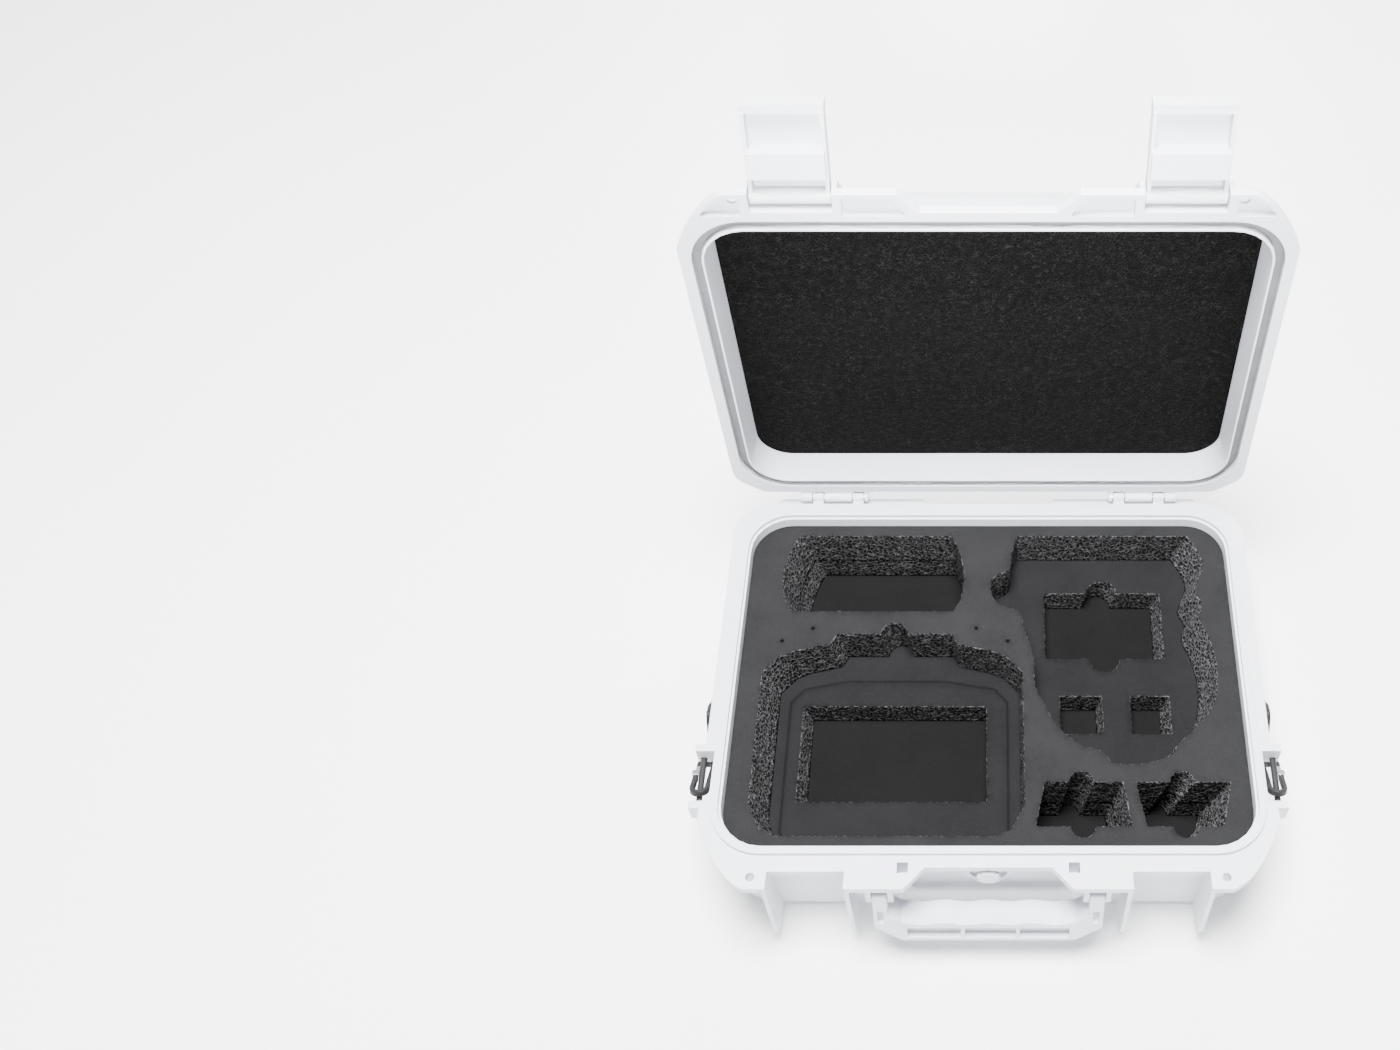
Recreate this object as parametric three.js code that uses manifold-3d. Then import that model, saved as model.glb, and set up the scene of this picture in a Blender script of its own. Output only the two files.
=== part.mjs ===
// Drone carrying case: a moulded two-part hard case with a cut foam insert, shown open.
// Millimetres, +Z up, +X to the right, front (handle side) towards -Y.
// The origin is the centre of the base's underside, with the case lying on it.
// Every piece is drawn where it sits on the closed case, with z = 0 at the parting plane.
// Nested groups then turn the lid, the latches, the handle and the hooks to the open pose.
import * as THREE from "three";
import { mergeVertices } from "three/addons/utils/BufferGeometryUtils.js";
import Module from "manifold-3d";

const wasm = await Module();
wasm.setup();

// Overall size
const BASE_HEIGHT = 94;
const LID_HEIGHT = 42;
const RIM_HALF_WIDTH = 180;
const RIM_HALF_DEPTH = 136.5;
const EAR_Y = -150;
const FLANGE = 6;
const GAP = 0.3;
const RIM_CORNER = 33;

// Rest pose, in degrees from closed (from swung out for the handle, from hanging for the hooks)
const LID_OPEN = 88;
const LATCH_OPEN = 102;
const HANDLE_HANG = 80;
const HOOK_TILT = 60;

// Shared stations
const RIB_X = [85.7, 135.5];
const RIB = 3;
const RIB_HEIGHT = 1.5;
const FULL_RIB_Y = [-101.6, -66.6, 74.9, 110.3];
const SHORT_RIB_Y = [-30.2, 5.2, 40.5];
const BAY = { x: (RIB_X[0] + RIB_X[1]) / 2, half: (RIB_X[1] - RIB_X[0] - RIB) / 2 };
const WALL = { halfX: 175.5, y: 132 };
const CAVITY = { halfX: 166.3, halfY: 122.8, corner: 27 };

// Hinge, latch, handle and strap lug
const HINGE = { y: 142.5, radius: 4, pin: 1.8, clearance: 0.25 };
const HINGE_CUTS = [86, 89.3, 97.7, 117.8, 126.2, 135.2];
const KNUCKLE_GAP = 0.8;
const FOOT = { y: 146.5, z: 8, thickness: 3 };
const LATCH = { y: -143, z: 7.5, half: 22.7, length: 56, plate: 3, wall: 2.4, pin: 2 };
const HANDLE = { y: -143, z: -20, thickness: 16.6, half: 70.8, leg: 8.8, reach: 44.5, grip: 19.5, pin: 2.5 };
const LUG = { y: -76, half: 17, end: 5, inner: 174.2, outer: 186.5, bottom: -15.5 };
const LUG_BAR = { x: 182.5, z: -11.5, radius: 2, inset: 3 };
const HOOK = { bore: 3.2, wire: 3, width: 4, rise: 5.8, straight: 20 };
const RING = { half: 29, top: -37.5, drop: 15, bar: 3.5 };
const VALVE = { z: -16, radius: 11 };
const SOCKET = { x: 52, y: -136.6, half: 3.3, wall: 2, depth: 15 };

// Foam insert levels below the parting plane
const FOAM_TOP = -7;
const FOAM_SHELF = -37;
const FOAM_FLOOR = -57;
const POCKET_LEAN = 0.002;
const LID_FOAM_FACE = 23;

const SIDES = { left: -1, right: 1 };

// Makes a piece for the left (-1) and for the right (+1), or several for each.
function bothSides(make) {
  return Object.values(SIDES).flatMap((side) => make(side));
}

// ---- solids ------------------------------------------------------------------------------

// A closed three.js geometry as a manifold solid.
function solid(geometry) {
  const bare = geometry.clone();
  bare.deleteAttribute("normal");
  bare.deleteAttribute("uv");
  const merged = mergeVertices(bare, 1e-4);
  return new wasm.Manifold(
    new wasm.Mesh({
      numProp: 3,
      vertProperties: merged.attributes.position.array,
      triVerts: new Uint32Array(merged.index.array),
    }),
  );
}

function union(...parts) {
  return parts.flat().reduce((whole, part) => whole.add(part));
}

function box(x0, x1, y0, y1, z0, z1) {
  const geometry = new THREE.BoxGeometry(x1 - x0, y1 - y0, z1 - z0);
  return solid(geometry.translate((x0 + x1) / 2, (y0 + y1) / 2, (z0 + z1) / 2));
}

// A box from inner to outer |x|, on the side given by its sign.
function sideBox(side, x0, x1, y0, y1, z0, z1) {
  const [a, b] = side > 0 ? [x0, x1] : [-x1, -x0];
  return box(a, b, y0, y1, z0, z1);
}

function outline(points) {
  return new THREE.Shape(points.map(([x, y]) => new THREE.Vector2(x, y)));
}

function extrude(shape, depth, curveSegments = 6) {
  return new THREE.ExtrudeGeometry(shape, { depth, bevelEnabled: false, curveSegments });
}

// An XY outline between two heights.
function slab(shape, z0, z1, curveSegments) {
  return solid(extrude(shape, z1 - z0, curveSegments).translate(0, 0, z0));
}

// A YZ outline between two x stations.
function plateX(shape, x0, x1, curveSegments) {
  const turn = new THREE.Matrix4().makeBasis(
    new THREE.Vector3(0, 1, 0),
    new THREE.Vector3(0, 0, 1),
    new THREE.Vector3(1, 0, 0),
  );
  return solid(extrude(shape, x1 - x0, curveSegments).applyMatrix4(turn).translate(x0, 0, 0));
}

function finX(points, x0, x1) {
  return plateX(outline(points), x0, x1);
}

// An XZ outline between two y stations.
function plateY(shape, y0, y1, curveSegments) {
  const turn = new THREE.Matrix4().makeBasis(
    new THREE.Vector3(1, 0, 0),
    new THREE.Vector3(0, 0, 1),
    new THREE.Vector3(0, -1, 0),
  );
  return solid(extrude(shape, y1 - y0, curveSegments).applyMatrix4(turn).translate(0, y1, 0));
}

function rodX(radius, x0, x1, y, z, sides = 20) {
  const geometry = new THREE.CylinderGeometry(radius, radius, x1 - x0, sides);
  return solid(geometry.rotateZ(Math.PI / 2).translate((x0 + x1) / 2, y, z));
}

function rodY(radius, y0, y1, x, z, sides = 28) {
  const geometry = new THREE.CylinderGeometry(radius, radius, y1 - y0, sides);
  return solid(geometry.translate(x, (y0 + y1) / 2, z));
}

function rodZ(radius, z0, z1, x, y, sides = 16) {
  const geometry = new THREE.CylinderGeometry(radius, radius, z1 - z0, sides);
  return solid(geometry.rotateX(Math.PI / 2).translate(x, y, (z0 + z1) / 2));
}

function roundedRectangle(halfX, y0, y1, corner) {
  const shape = new THREE.Shape();
  shape.moveTo(halfX, y0 + corner);
  shape.lineTo(halfX, y1 - corner);
  shape.absarc(halfX - corner, y1 - corner, corner, 0, Math.PI / 2);
  shape.absarc(corner - halfX, y1 - corner, corner, Math.PI / 2, Math.PI);
  shape.absarc(corner - halfX, y0 + corner, corner, Math.PI, Math.PI * 1.5);
  shape.absarc(halfX - corner, y0 + corner, corner, Math.PI * 1.5, Math.PI * 2);
  return shape;
}

// The corner points of a rounded rectangle, anticlockwise, the same number for every section.
function ring({ halfX, y0, y1, corner }, steps = 6) {
  const centres = [
    [halfX - corner, y1 - corner, 0],
    [corner - halfX, y1 - corner, 1],
    [corner - halfX, y0 + corner, 2],
    [halfX - corner, y0 + corner, 3],
  ];
  return centres.flatMap(([x, y, quarter]) =>
    Array.from({ length: steps + 1 }, (_, i) => {
      const angle = (quarter + i / steps) * (Math.PI / 2);
      return [x + corner * Math.cos(angle), y + corner * Math.sin(angle)];
    }),
  );
}

// A closed body through rounded-rectangle sections stacked upwards.
function loft(sections) {
  const rings = sections.map((section) => ring(section).map(([x, y]) => [x, y, section.z]));
  const count = rings[0].length;
  const positions = rings.flat(2);
  const last = (rings.length - 1) * count;
  const index = [];
  for (let i = 1; i < count - 1; i++) {
    index.push(0, i + 1, i, last, last + i, last + i + 1);
  }
  for (let level = 0; level < rings.length - 1; level++) {
    for (let i = 0; i < count; i++) {
      const a = level * count + i;
      const b = level * count + ((i + 1) % count);
      index.push(a, b, b + count, a, b + count, a + count);
    }
  }
  const geometry = new THREE.BufferGeometry();
  geometry.setAttribute("position", new THREE.Float32BufferAttribute(positions, 3));
  return solid(geometry.setIndex(index));
}

function section(z, halfX, y0, y1, corner) {
  return { z, halfX, y0, y1, corner };
}

function grown(sections, by) {
  return sections.map((s) => section(s.z, s.halfX + by, s.y0 - by, s.y1 + by, s.corner + by));
}

// The section at height z between the two given sections around it.
function sectionAt(sections, z) {
  const upper = sections.findIndex((s) => s.z >= z);
  const [a, b] = [sections[upper - 1], sections[upper]];
  const t = (z - a.z) / (b.z - a.z);
  const mix = (key) => a[key] + (b[key] - a[key]) * t;
  return section(z, mix("halfX"), mix("y0"), mix("y1"), mix("corner"));
}

// The stretch of a lofted space between two heights, drawn in by the fitting gap.
function fill(sections, z0, z1) {
  const inside = sections.filter((s) => s.z > z0 && s.z < z1);
  return loft(grown([sectionAt(sections, z0), ...inside, sectionAt(sections, z1)], -GAP));
}

function rimBand(inset0, inset1, z0, z1) {
  const make = (inset) => {
    const y = CAVITY.halfY + inset;
    return roundedRectangle(CAVITY.halfX + inset, -y, y, CAVITY.corner + inset);
  };
  const band = make(inset1);
  band.holes.push(make(inset0));
  return slab(band, z0, z1, 6);
}

// ---- meshes ------------------------------------------------------------------------------

function material(color, roughness, metalness = 0) {
  return new THREE.MeshStandardMaterial({ color, roughness, metalness });
}

const finish = {
  shell: () => material(0xdfe2e7, 0.5),
  foam: () => material(0x4a4a4d, 0.95),
  lidFoam: () => material(0x202020, 0.95),
  seal: () => material(0x8d9094, 0.8),
  steel: () => material(0xb9bcc0, 0.35, 1),
  black: () => material(0x161617, 0.45),
  gloss: () => material(0x08080a, 0.12),
  silver: () => material(0xc9cbce, 0.3, 1),
  webbing: () => material(0xb7b7b2, 0.6),
};

function mesh(name, shape, look) {
  const { numProp, vertProperties, triVerts } = shape.getMesh();
  const points = new THREE.InterleavedBuffer(vertProperties, numProp);
  const geometry = new THREE.BufferGeometry();
  geometry.setAttribute("position", new THREE.InterleavedBufferAttribute(points, 3, 0));
  geometry.setIndex(new THREE.BufferAttribute(triVerts, 1));
  const made = new THREE.Mesh(geometry, look());
  made.name = name;
  return made;
}

// A group that turns its children about the X direction through (y, z).
function turned(y, z, degrees, children) {
  const inner = new THREE.Group();
  inner.position.set(0, -y, -z);
  inner.add(...children);
  const outer = new THREE.Group();
  outer.position.set(0, y, z);
  outer.rotation.x = THREE.MathUtils.degToRad(degrees);
  outer.add(inner);
  return outer;
}

// ---- shells ------------------------------------------------------------------------------

// The flange: ears with latch bays at the front, bevelled corners at the hinge side.
function flangeShape(bayY) {
  const shape = new THREE.Shape();
  const halves = [
    [38.5, -RIM_HALF_DEPTH],
    [51.3, EAR_Y],
    [BAY.x - BAY.half, EAR_Y],
    [BAY.x - BAY.half, bayY],
    [BAY.x + BAY.half, bayY],
    [BAY.x + BAY.half, EAR_Y],
    [148, EAR_Y],
  ];
  shape.moveTo(-halves[0][0], halves[0][1]);
  halves.forEach(([x, y]) => shape.lineTo(x, y));
  shape.quadraticCurveTo(165.5, -142, RIM_HALF_WIDTH, -107);
  shape.lineTo(RIM_HALF_WIDTH, 110);
  shape.quadraticCurveTo(RIM_HALF_WIDTH, 121, 173, 126.5);
  shape.lineTo(160.5, RIM_HALF_DEPTH);
  shape.lineTo(-160.5, RIM_HALF_DEPTH);
  shape.lineTo(-173, 126.5);
  shape.quadraticCurveTo(-RIM_HALF_WIDTH, 121, -RIM_HALF_WIDTH, 110);
  shape.lineTo(-RIM_HALF_WIDTH, -107);
  shape.quadraticCurveTo(-165.5, -142, -148, EAR_Y);
  halves.slice(0, -1).reverse().forEach(([x, y]) => shape.lineTo(-x, y));
  return shape;
}

// Standing feet along the hinge side, clear of the hinge axis so that the lid can turn.
function feet(z0, z1) {
  return bothSides((side) =>
    slab(
      outline(
        [
          [36, 128],
          [36, RIM_HALF_DEPTH],
          [48.2, FOOT.y],
          [148, FOOT.y],
          [172, 127.5],
          [166, 120],
        ].map(([x, y]) => [side * x, y]),
      ),
      z0,
      z1,
    ),
  );
}

// One barrel of the hinge with the web that ties it to its half, above or below the axis.
function knuckle(side, x0, x1, half) {
  const [a, b] = side > 0 ? [x0, x1] : [-x1, -x0];
  const [z0, z1] = half > 0 ? [GAP, HINGE.radius] : [-HINGE.radius, 0];
  return rodX(HINGE.radius, a, b, HINGE.y, 0, 16).add(box(a, b, RIM_HALF_DEPTH - 3, HINGE.y, z0, z1));
}

function hingeBores() {
  const radius = HINGE.pin + HINGE.clearance;
  const reach = BAY.half + 7;
  return bothSides((side) => rodX(radius, side * BAY.x - reach, side * BAY.x + reach, HINGE.y, 0, 12));
}

function knuckles(spans, half) {
  const trim = KNUCKLE_GAP / 2;
  return bothSides((side) =>
    spans.map((i) => knuckle(side, HINGE_CUTS[i] + trim, HINGE_CUTS[i + 1] - trim, half)),
  );
}

function fins(points) {
  return bothSides((side) =>
    RIB_X.map((x) => finX(points, side * x - RIB / 2, side * x + RIB / 2)),
  );
}

function cornerHoles(z0, z1) {
  return bothSides((side) => rodZ(2.75, z0, z1, side * 143.5, -142.5, 12));
}

const baseSections = [
  section(-BASE_HEIGHT, 160, -117, 117, 24),
  section(10 - BASE_HEIGHT, 168.5, -125.5, 125.5, 30),
  section(-3, WALL.halfX, -WALL.y, WALL.y, RIM_CORNER),
];
const baseCavity = [
  section(3.5 - BASE_HEIGHT, 157, -113.5, 113.5, 19),
  section(12 - BASE_HEIGHT, 163.5, -120, 120, 24),
  section(5, CAVITY.halfX, -CAVITY.halfY, CAVITY.halfY, CAVITY.corner),
];
const lidSections = [
  section(3, WALL.halfX, -WALL.y, WALL.y, RIM_CORNER),
  section(20, 173.5, -129, 130.5, 31),
  section(33, 169, -121, 128, 28),
  section(39.5, 164, -114.5, 125, 25),
  section(LID_HEIGHT, 161, -111.5, 122.5, 22),
];
const lidCavity = [
  section(-5, CAVITY.halfX, -CAVITY.halfY, CAVITY.halfY, CAVITY.corner),
  section(LID_FOAM_FACE, 163.4, -118.5, 121.3, 24),
  section(31, 160.5, -113, 119, 22),
  section(LID_HEIGHT - 3.2, 156.5, -107.5, 116.5, 20),
];

// Side ribs of the base, cut from a slightly larger copy of its outside.
function baseRibs() {
  const skin = loft(grown(baseSections, RIB_HEIGHT));
  const strips = [...FULL_RIB_Y, ...SHORT_RIB_Y].map((y) =>
    box(-190, 190, y - RIB / 2, y + RIB / 2, -BASE_HEIGHT, -4),
  );
  return skin.intersect(union(strips)).subtract(box(-150, 150, -140, 140, -BASE_HEIGHT - 1, 0));
}

// The strap lug: two cheeks beside a notch in the flange, with blind bores for its steel bar.
function lug(side) {
  const [y0, y1] = [LUG.y - LUG.half, LUG.y + LUG.half];
  const bore = lugBar(side, LUG_BAR.radius + HINGE.clearance, LUG_BAR.inset + GAP);
  return union(
    sideBox(side, 172, LUG.outer, y0 - LUG.end, y0, LUG.bottom, 0),
    sideBox(side, 172, LUG.outer, y1, y1 + LUG.end, LUG.bottom, 0),
  ).subtract(bore);
}

function lugBar(side, radius, inset) {
  const reach = LUG.half + inset;
  return rodY(radius, LUG.y - reach, LUG.y + reach, side * LUG_BAR.x, LUG_BAR.z, 20);
}

// Two gussets on each side of a handle leg, with the bore of the pivot pin.
function handleBrackets(side) {
  const leg = [HANDLE.half - HANDLE.leg, HANDLE.half];
  const profile = [
    [-128, -4],
    [EAR_Y + 1, -4],
    [EAR_Y + 1, HANDLE.z - 4],
    [-142, HANDLE.z - 9],
    [-128, -52],
  ];
  return [leg[0] - 4, leg[1] + 0.5].map((x) => {
    const [a, b] = side > 0 ? [x, x + 3.5] : [-x - 3.5, -x];
    return finX(profile, a, b);
  });
}

// An upright square bar at the locating socket on each side of the handle.
function squareBar(side, half, z0, z1) {
  const { x, y } = SOCKET;
  return sideBox(side, x - half, x + half, y - half, y + half, z0, z1);
}

function baseShell() {
  const baseFin = [
    [-124, -1],
    [EAR_Y, -1],
    [EAR_Y, 24 - BASE_HEIGHT],
    [-148, 15 - BASE_HEIGHT],
    [-130, 8 - BASE_HEIGHT],
    [-124, 8 - BASE_HEIGHT],
  ];
  const backFin = [
    [124, -5],
    [RIM_HALF_DEPTH, -5],
    [RIM_HALF_DEPTH, -FOOT.z],
    [FOOT.y, -FOOT.z],
    [FOOT.y, -FOOT.z - 8],
    [130, 8 - BASE_HEIGHT],
    [124, 8 - BASE_HEIGHT],
  ];
  const outside = union(
    loft(baseSections),
    baseRibs(),
    slab(flangeShape(-139), -FLANGE, 0, 8),
    fins(baseFin),
    fins(backFin),
    feet(-FOOT.z - FOOT.thickness, -FOOT.z),
    knuckles([1, 3], -1),
    bothSides(handleBrackets),
    rodY(VALVE.radius + 2, -WALL.y - 1.5, -WALL.y + 4, 0, VALVE.z),
    bothSides((side) => squareBar(side, SOCKET.half + SOCKET.wall, -SOCKET.depth - SOCKET.wall, -1)),
  );
  const ridge = rimBand(1.4, 6, -2, 3);
  const notches = bothSides((side) =>
    sideBox(side, LUG.inner, 190, LUG.y - LUG.half, LUG.y + LUG.half, -FLANGE - 14, 4),
  );
  const sockets = bothSides((side) => squareBar(side, SOCKET.half, -SOCKET.depth, 1));
  const handleBore = rodX(HANDLE.pin + HINGE.clearance, -80, 80, HANDLE.y, HANDLE.z);
  const bores = [...hingeBores(), ...cornerHoles(-9, 1), handleBore];
  const cuts = [loft(baseCavity), ...notches, ...sockets, ...bores];
  const valveSeat = rodY(VALVE.radius + GAP, -WALL.y - 5, -WALL.y + 1.5, 0, VALVE.z);
  return outside.add(ridge).subtract(union(cuts, valveSeat)).add(union(bothSides(lug)));
}

// Face ribs of the lid: long ones both ways, short ones outside the outer pair.
function lidRibs() {
  const larger = grown(lidSections, RIB_HEIGHT);
  larger[larger.length - 1].z += RIB_HEIGHT;
  larger[larger.length - 1].halfX -= RIB_HEIGHT;
  const top = LID_HEIGHT + 5;
  const across = FULL_RIB_Y.map((y) => box(-190, 190, y - RIB / 2, y + RIB / 2, 4, top));
  const along = bothSides((side) =>
    RIB_X.map((x) => box(side * x - RIB / 2, side * x + RIB / 2, -140, 140, 4, top)),
  );
  const short = bothSides((side) =>
    SHORT_RIB_Y.map((y) => sideBox(side, RIB_X[1], 190, y - RIB / 2, y + RIB / 2, 4, top)),
  );
  return loft(larger).intersect(union(across, along, short));
}

// Shallow panels sunk into the lid's ears, on both sides of each latch bay.
function earPanels() {
  const panels = [
    [
      [46.5, -133.5],
      [48, -137.5],
      [54.3, -147],
      [82, -147],
      [82, -133.5],
    ],
    [
      [139.2, -133.5],
      [139.2, -147],
      [147, -147],
      [154.5, -142.5],
      [160.5, -136.5],
      [162.5, -133.5],
    ],
  ];
  return bothSides((side) =>
    panels.map((points) => slab(outline(points.map(([x, y]) => [side * x, y])), -1, 4.5)),
  );
}

function lidShell() {
  const frontFin = [
    [-124, 1],
    [EAR_Y, 1],
    [EAR_Y, 11.5],
    [-147, 14.5],
    [-112, LID_HEIGHT + RIB_HEIGHT - 0.5],
    [-108, 30],
  ];
  const backFin = [
    [124, 5],
    [RIM_HALF_DEPTH, 5],
    [RIM_HALF_DEPTH, FOOT.z],
    [FOOT.y, FOOT.z],
    [FOOT.y, FOOT.z + 9],
    [124, LID_HEIGHT + RIB_HEIGHT - 0.5],
    [118, 30],
  ];
  const outside = union(
    loft(lidSections),
    lidRibs(),
    slab(flangeShape(-RIM_HALF_DEPTH), GAP, FLANGE, 8),
    fins(frontFin),
    fins(backFin),
    feet(FOOT.z, FOOT.z + FOOT.thickness),
    knuckles([0, 2, 4], 1),
  );
  const groove = rimBand(0.8, 6.6, -1, 5);
  const pinBore = rodX(LATCH.pin + HINGE.clearance, -140, 140, LATCH.y, LATCH.z);
  const labelSeat = box(-34.6, 34.6, -19.4, 19.4, LID_HEIGHT - 0.6, LID_HEIGHT + 2);
  return outside.subtract(
    union(loft(lidCavity), groove, pinBore, labelSeat, earPanels(), hingeBores(), cornerHoles(-1, 9)),
  );
}

// ---- foam --------------------------------------------------------------------------------

// Pocket outlines seen from above; the insert spans y = -122 to 122.

function chargerPocket() {
  const shape = new THREE.Shape();
  shape.moveTo(-133, 112.5);
  shape.quadraticCurveTo(-139, 104, -142.5, 84);
  shape.quadraticCurveTo(-144, 64, -135, 50.5);
  shape.lineTo(-24, 50.5);
  shape.quadraticCurveTo(-16, 64, -17.5, 84);
  shape.quadraticCurveTo(-21, 104, -27, 112.5);
  return shape;
}

// The remote controller: broad shoulders, a stepped head with a round bump, square hips.
function controllerPocket() {
  const centre = -63.9;
  const right = [
    [8.8, 31.5],
    [38.5, 31.5],
    [43, 23.5],
    [65, 18.5],
    [75, 14.5],
    [86.4, 2.5],
    [86.4, -91.5],
    [78, -108.5],
    [68, -112.9],
  ];
  const shape = new THREE.Shape();
  right.slice().reverse().forEach(([x, y], i) => {
    if (i) shape.lineTo(centre + x, y);
    else shape.moveTo(centre + x, y);
  });
  shape.absarc(centre, 31.5, 8.8, 0, Math.PI);
  right.slice(1).forEach(([x, y]) => shape.lineTo(centre - x, y));
  return shape;
}

function screenPocket() {
  return outline([
    [-125, -76.5],
    [-1.5, -76.5],
    [-1.5, -7.5],
    [-125, -7.5],
  ]);
}

// The folded drone: a flat rear, arm bulges down both sides and a rounded nose.
function dronePocket() {
  const shape = new THREE.Shape();
  shape.moveTo(21, 112.5);
  shape.splineThru(
    [
      [17, 100],
      [15, 85],
      [4, 78],
      [2, 69],
      [7, 57],
      [21, 50],
      [25, 36],
      [31, 12],
      [31, -6],
      [36, -19],
      [45, -37],
      [58, -49],
      [74, -56],
      [80, -63],
      [98, -64],
      [117, -58],
      [122, -50],
      [134, -39],
      [148, -20],
      [152, 6],
      [149, 28],
      [143.5, 44],
      [146.5, 56],
      [142.5, 68],
      [149.5, 86],
      [148, 98],
      [141, 112.5],
    ].map(([x, y]) => new THREE.Vector2(x, y)),
  );
  return shape;
}

// The drone's gimbal well, with a round finger cut in each long side.
function gimbalPocket() {
  const [centre, half, top, bottom, finger] = [81, 41, 83.5, 30.5, 10.5];
  const shape = new THREE.Shape();
  shape.moveTo(centre + half, bottom);
  shape.lineTo(centre + half, top);
  shape.lineTo(centre + finger, top);
  shape.absarc(centre, top, finger, 0, Math.PI);
  shape.lineTo(centre - half, top);
  shape.lineTo(centre - half, bottom);
  shape.lineTo(centre - finger, bottom);
  shape.absarc(centre, bottom, finger, Math.PI, Math.PI * 2);
  return shape;
}

function legPocket(x0, x1) {
  return outline([
    [x0, -27.5],
    [x1, -27.5],
    [x1, 0.5],
    [x0, 0.5],
  ]);
}

// A spare battery: a tapered well with a finger cut at both ends.
function batteryPocket(farLeft, farRight, nearLeft, nearRight, finger) {
  const [far, near, radius] = [-77.5, -106.5, 7.5];
  const shape = new THREE.Shape();
  shape.moveTo(nearRight, near);
  shape.lineTo(farRight, far);
  shape.lineTo(finger + radius, far);
  shape.absarc(finger, far, radius, 0, Math.PI);
  shape.lineTo(farLeft, far);
  shape.lineTo(nearLeft, near);
  shape.lineTo(finger - radius, near);
  shape.absarc(finger, near, radius, Math.PI, Math.PI * 2);
  return shape;
}

// A pocket cut between two heights. Below its mouth the outline draws in towards the case's middle plane.
function pocketCut(shape, mouth, z0, z1) {
  const geometry = extrude(shape, z1 - z0, 5).translate(0, 0, z0);
  const position = geometry.attributes.position;
  for (let i = 0; i < position.count; i++) {
    const lean = 1 - POCKET_LEAN * (mouth - position.getZ(i));
    position.setX(i, position.getX(i) * lean);
  }
  return solid(geometry);
}

function foamPieces() {
  const deep = [
    chargerPocket(),
    batteryPocket(36, 85, 30, 89, 59),
    batteryPocket(94, 153, 99, 146, 123),
  ];
  const shelf = [controllerPocket(), dronePocket()];
  const wells = [screenPocket(), gimbalPocket(), legPocket(49, 77), legPocket(97, 123)];
  const cut = (shapes, mouth, z0, z1) =>
    union(shapes.map((shape) => pocketCut(shape, mouth, z0 - 1, z1 + 1)));
  const top = fill(baseCavity, FOAM_SHELF, FOAM_TOP);
  const middle = fill(baseCavity, FOAM_FLOOR, FOAM_SHELF - GAP);
  const topCut = cut([...deep, ...shelf], FOAM_TOP, FOAM_SHELF, FOAM_TOP);
  const deepCut = cut(deep, FOAM_TOP, FOAM_FLOOR, FOAM_SHELF);
  const wellCut = cut(wells, FOAM_SHELF, FOAM_FLOOR, FOAM_SHELF);
  return [
    mesh("foam_top", top.subtract(topCut), finish.foam),
    mesh("foam_middle", middle.subtract(deepCut).subtract(wellCut), finish.foam),
    mesh("foam_bottom", fill(baseCavity, baseCavity[0].z + GAP, FOAM_FLOOR - GAP), finish.foam),
  ];
}

// ---- latches, handle and valve -------------------------------------------------------------

// A latch is a tray, open towards the case, with a hook bar that grips under the base flange.
function latch(side) {
  const { half, length, plate, wall, y, z } = LATCH;
  const centre = side * BAY.x;
  const at = (x0, x1, y0, y1, z0, z1) => box(centre + x0, centre + x1, y + y0, y + y1, z + z0, z + z1);
  const body = union(
    at(-half, half, -7, plate - 7, -length, 4),
    at(-half, wall - half, -7, 3.2, 4 - length, 2),
    at(half - wall, half, -7, 3.2, 4 - length, 2),
    at(-half, half, -7, 1.5, -length, 5.5 - length),
    at(-half + 1, half - 1, -5, 7.5, -29.7, -13.9),
    at(-half, half, -8.5, -6, -length, 7 - length),
    rodX(4.6, centre - half, centre + half, y, z, 24),
  );
  return body.subtract(rodX(LATCH.pin + HINGE.clearance, centre - 30, centre + 30, y, z, 16));
}

function handleShape() {
  const { y, half, leg, reach, grip } = HANDLE;
  const outer = y - reach;
  const inner = outer + grip;
  const waves = 4;
  const steps = 6 * waves;
  const shape = new THREE.Shape();
  shape.moveTo(half, y + 12);
  shape.lineTo(half - leg, y + 12);
  shape.lineTo(half - leg, inner + 9);
  shape.lineTo(54, inner + 1.2);
  for (let i = 1; i < steps; i++) {
    const t = i / steps;
    shape.lineTo(54 - 108 * t, inner + 1.2 * Math.cos(2 * Math.PI * waves * t));
  }
  shape.lineTo(-54, inner + 1.2);
  shape.lineTo(leg - half, inner + 9);
  shape.lineTo(leg - half, y + 12);
  shape.lineTo(-half, y + 12);
  shape.lineTo(-half, outer + 15);
  shape.lineTo(-54, outer);
  shape.lineTo(54, outer);
  shape.lineTo(half, outer + 15);
  return shape;
}

// The carrying handle: a deep grip with finger waves, hollowed between ribs on its lid side.
function handle() {
  const { y, z, thickness, half, leg, reach, grip } = HANDLE;
  const bottom = z - thickness / 2;
  const outer = y - reach;
  const round = rodX(thickness / 2, -half, half, y, z, 28);
  const ends = box(-half - 1, half + 1, y, y + 20, bottom - 1, z + thickness);
  const ribs = [-52, -16, 18.5, 52];
  const pockets = ribs.slice(0, -1).map((x, i) =>
    box(x + 1.3, ribs[i + 1] - 1.3, outer + 3, outer + grip - 5, z + thickness / 2 - 4, z + thickness),
  );
  const legPockets = bothSides((side) =>
    sideBox(side, half - leg + 2.4, half - 2.4, outer + 20, y - 11, z + thickness / 2 - 3, z + thickness),
  );
  const body = slab(handleShape(), bottom, bottom + thickness);
  const legs = bothSides((side) =>
    sideBox(side, half - leg, half, y - 9, y + 9, bottom, z + 9),
  );
  return body
    .subtract(ends)
    .add(round.intersect(union(legs)))
    .subtract(union(pockets, legPockets, rodX(HANDLE.pin + HINGE.clearance, -80, 80, y, z)));
}

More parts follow.
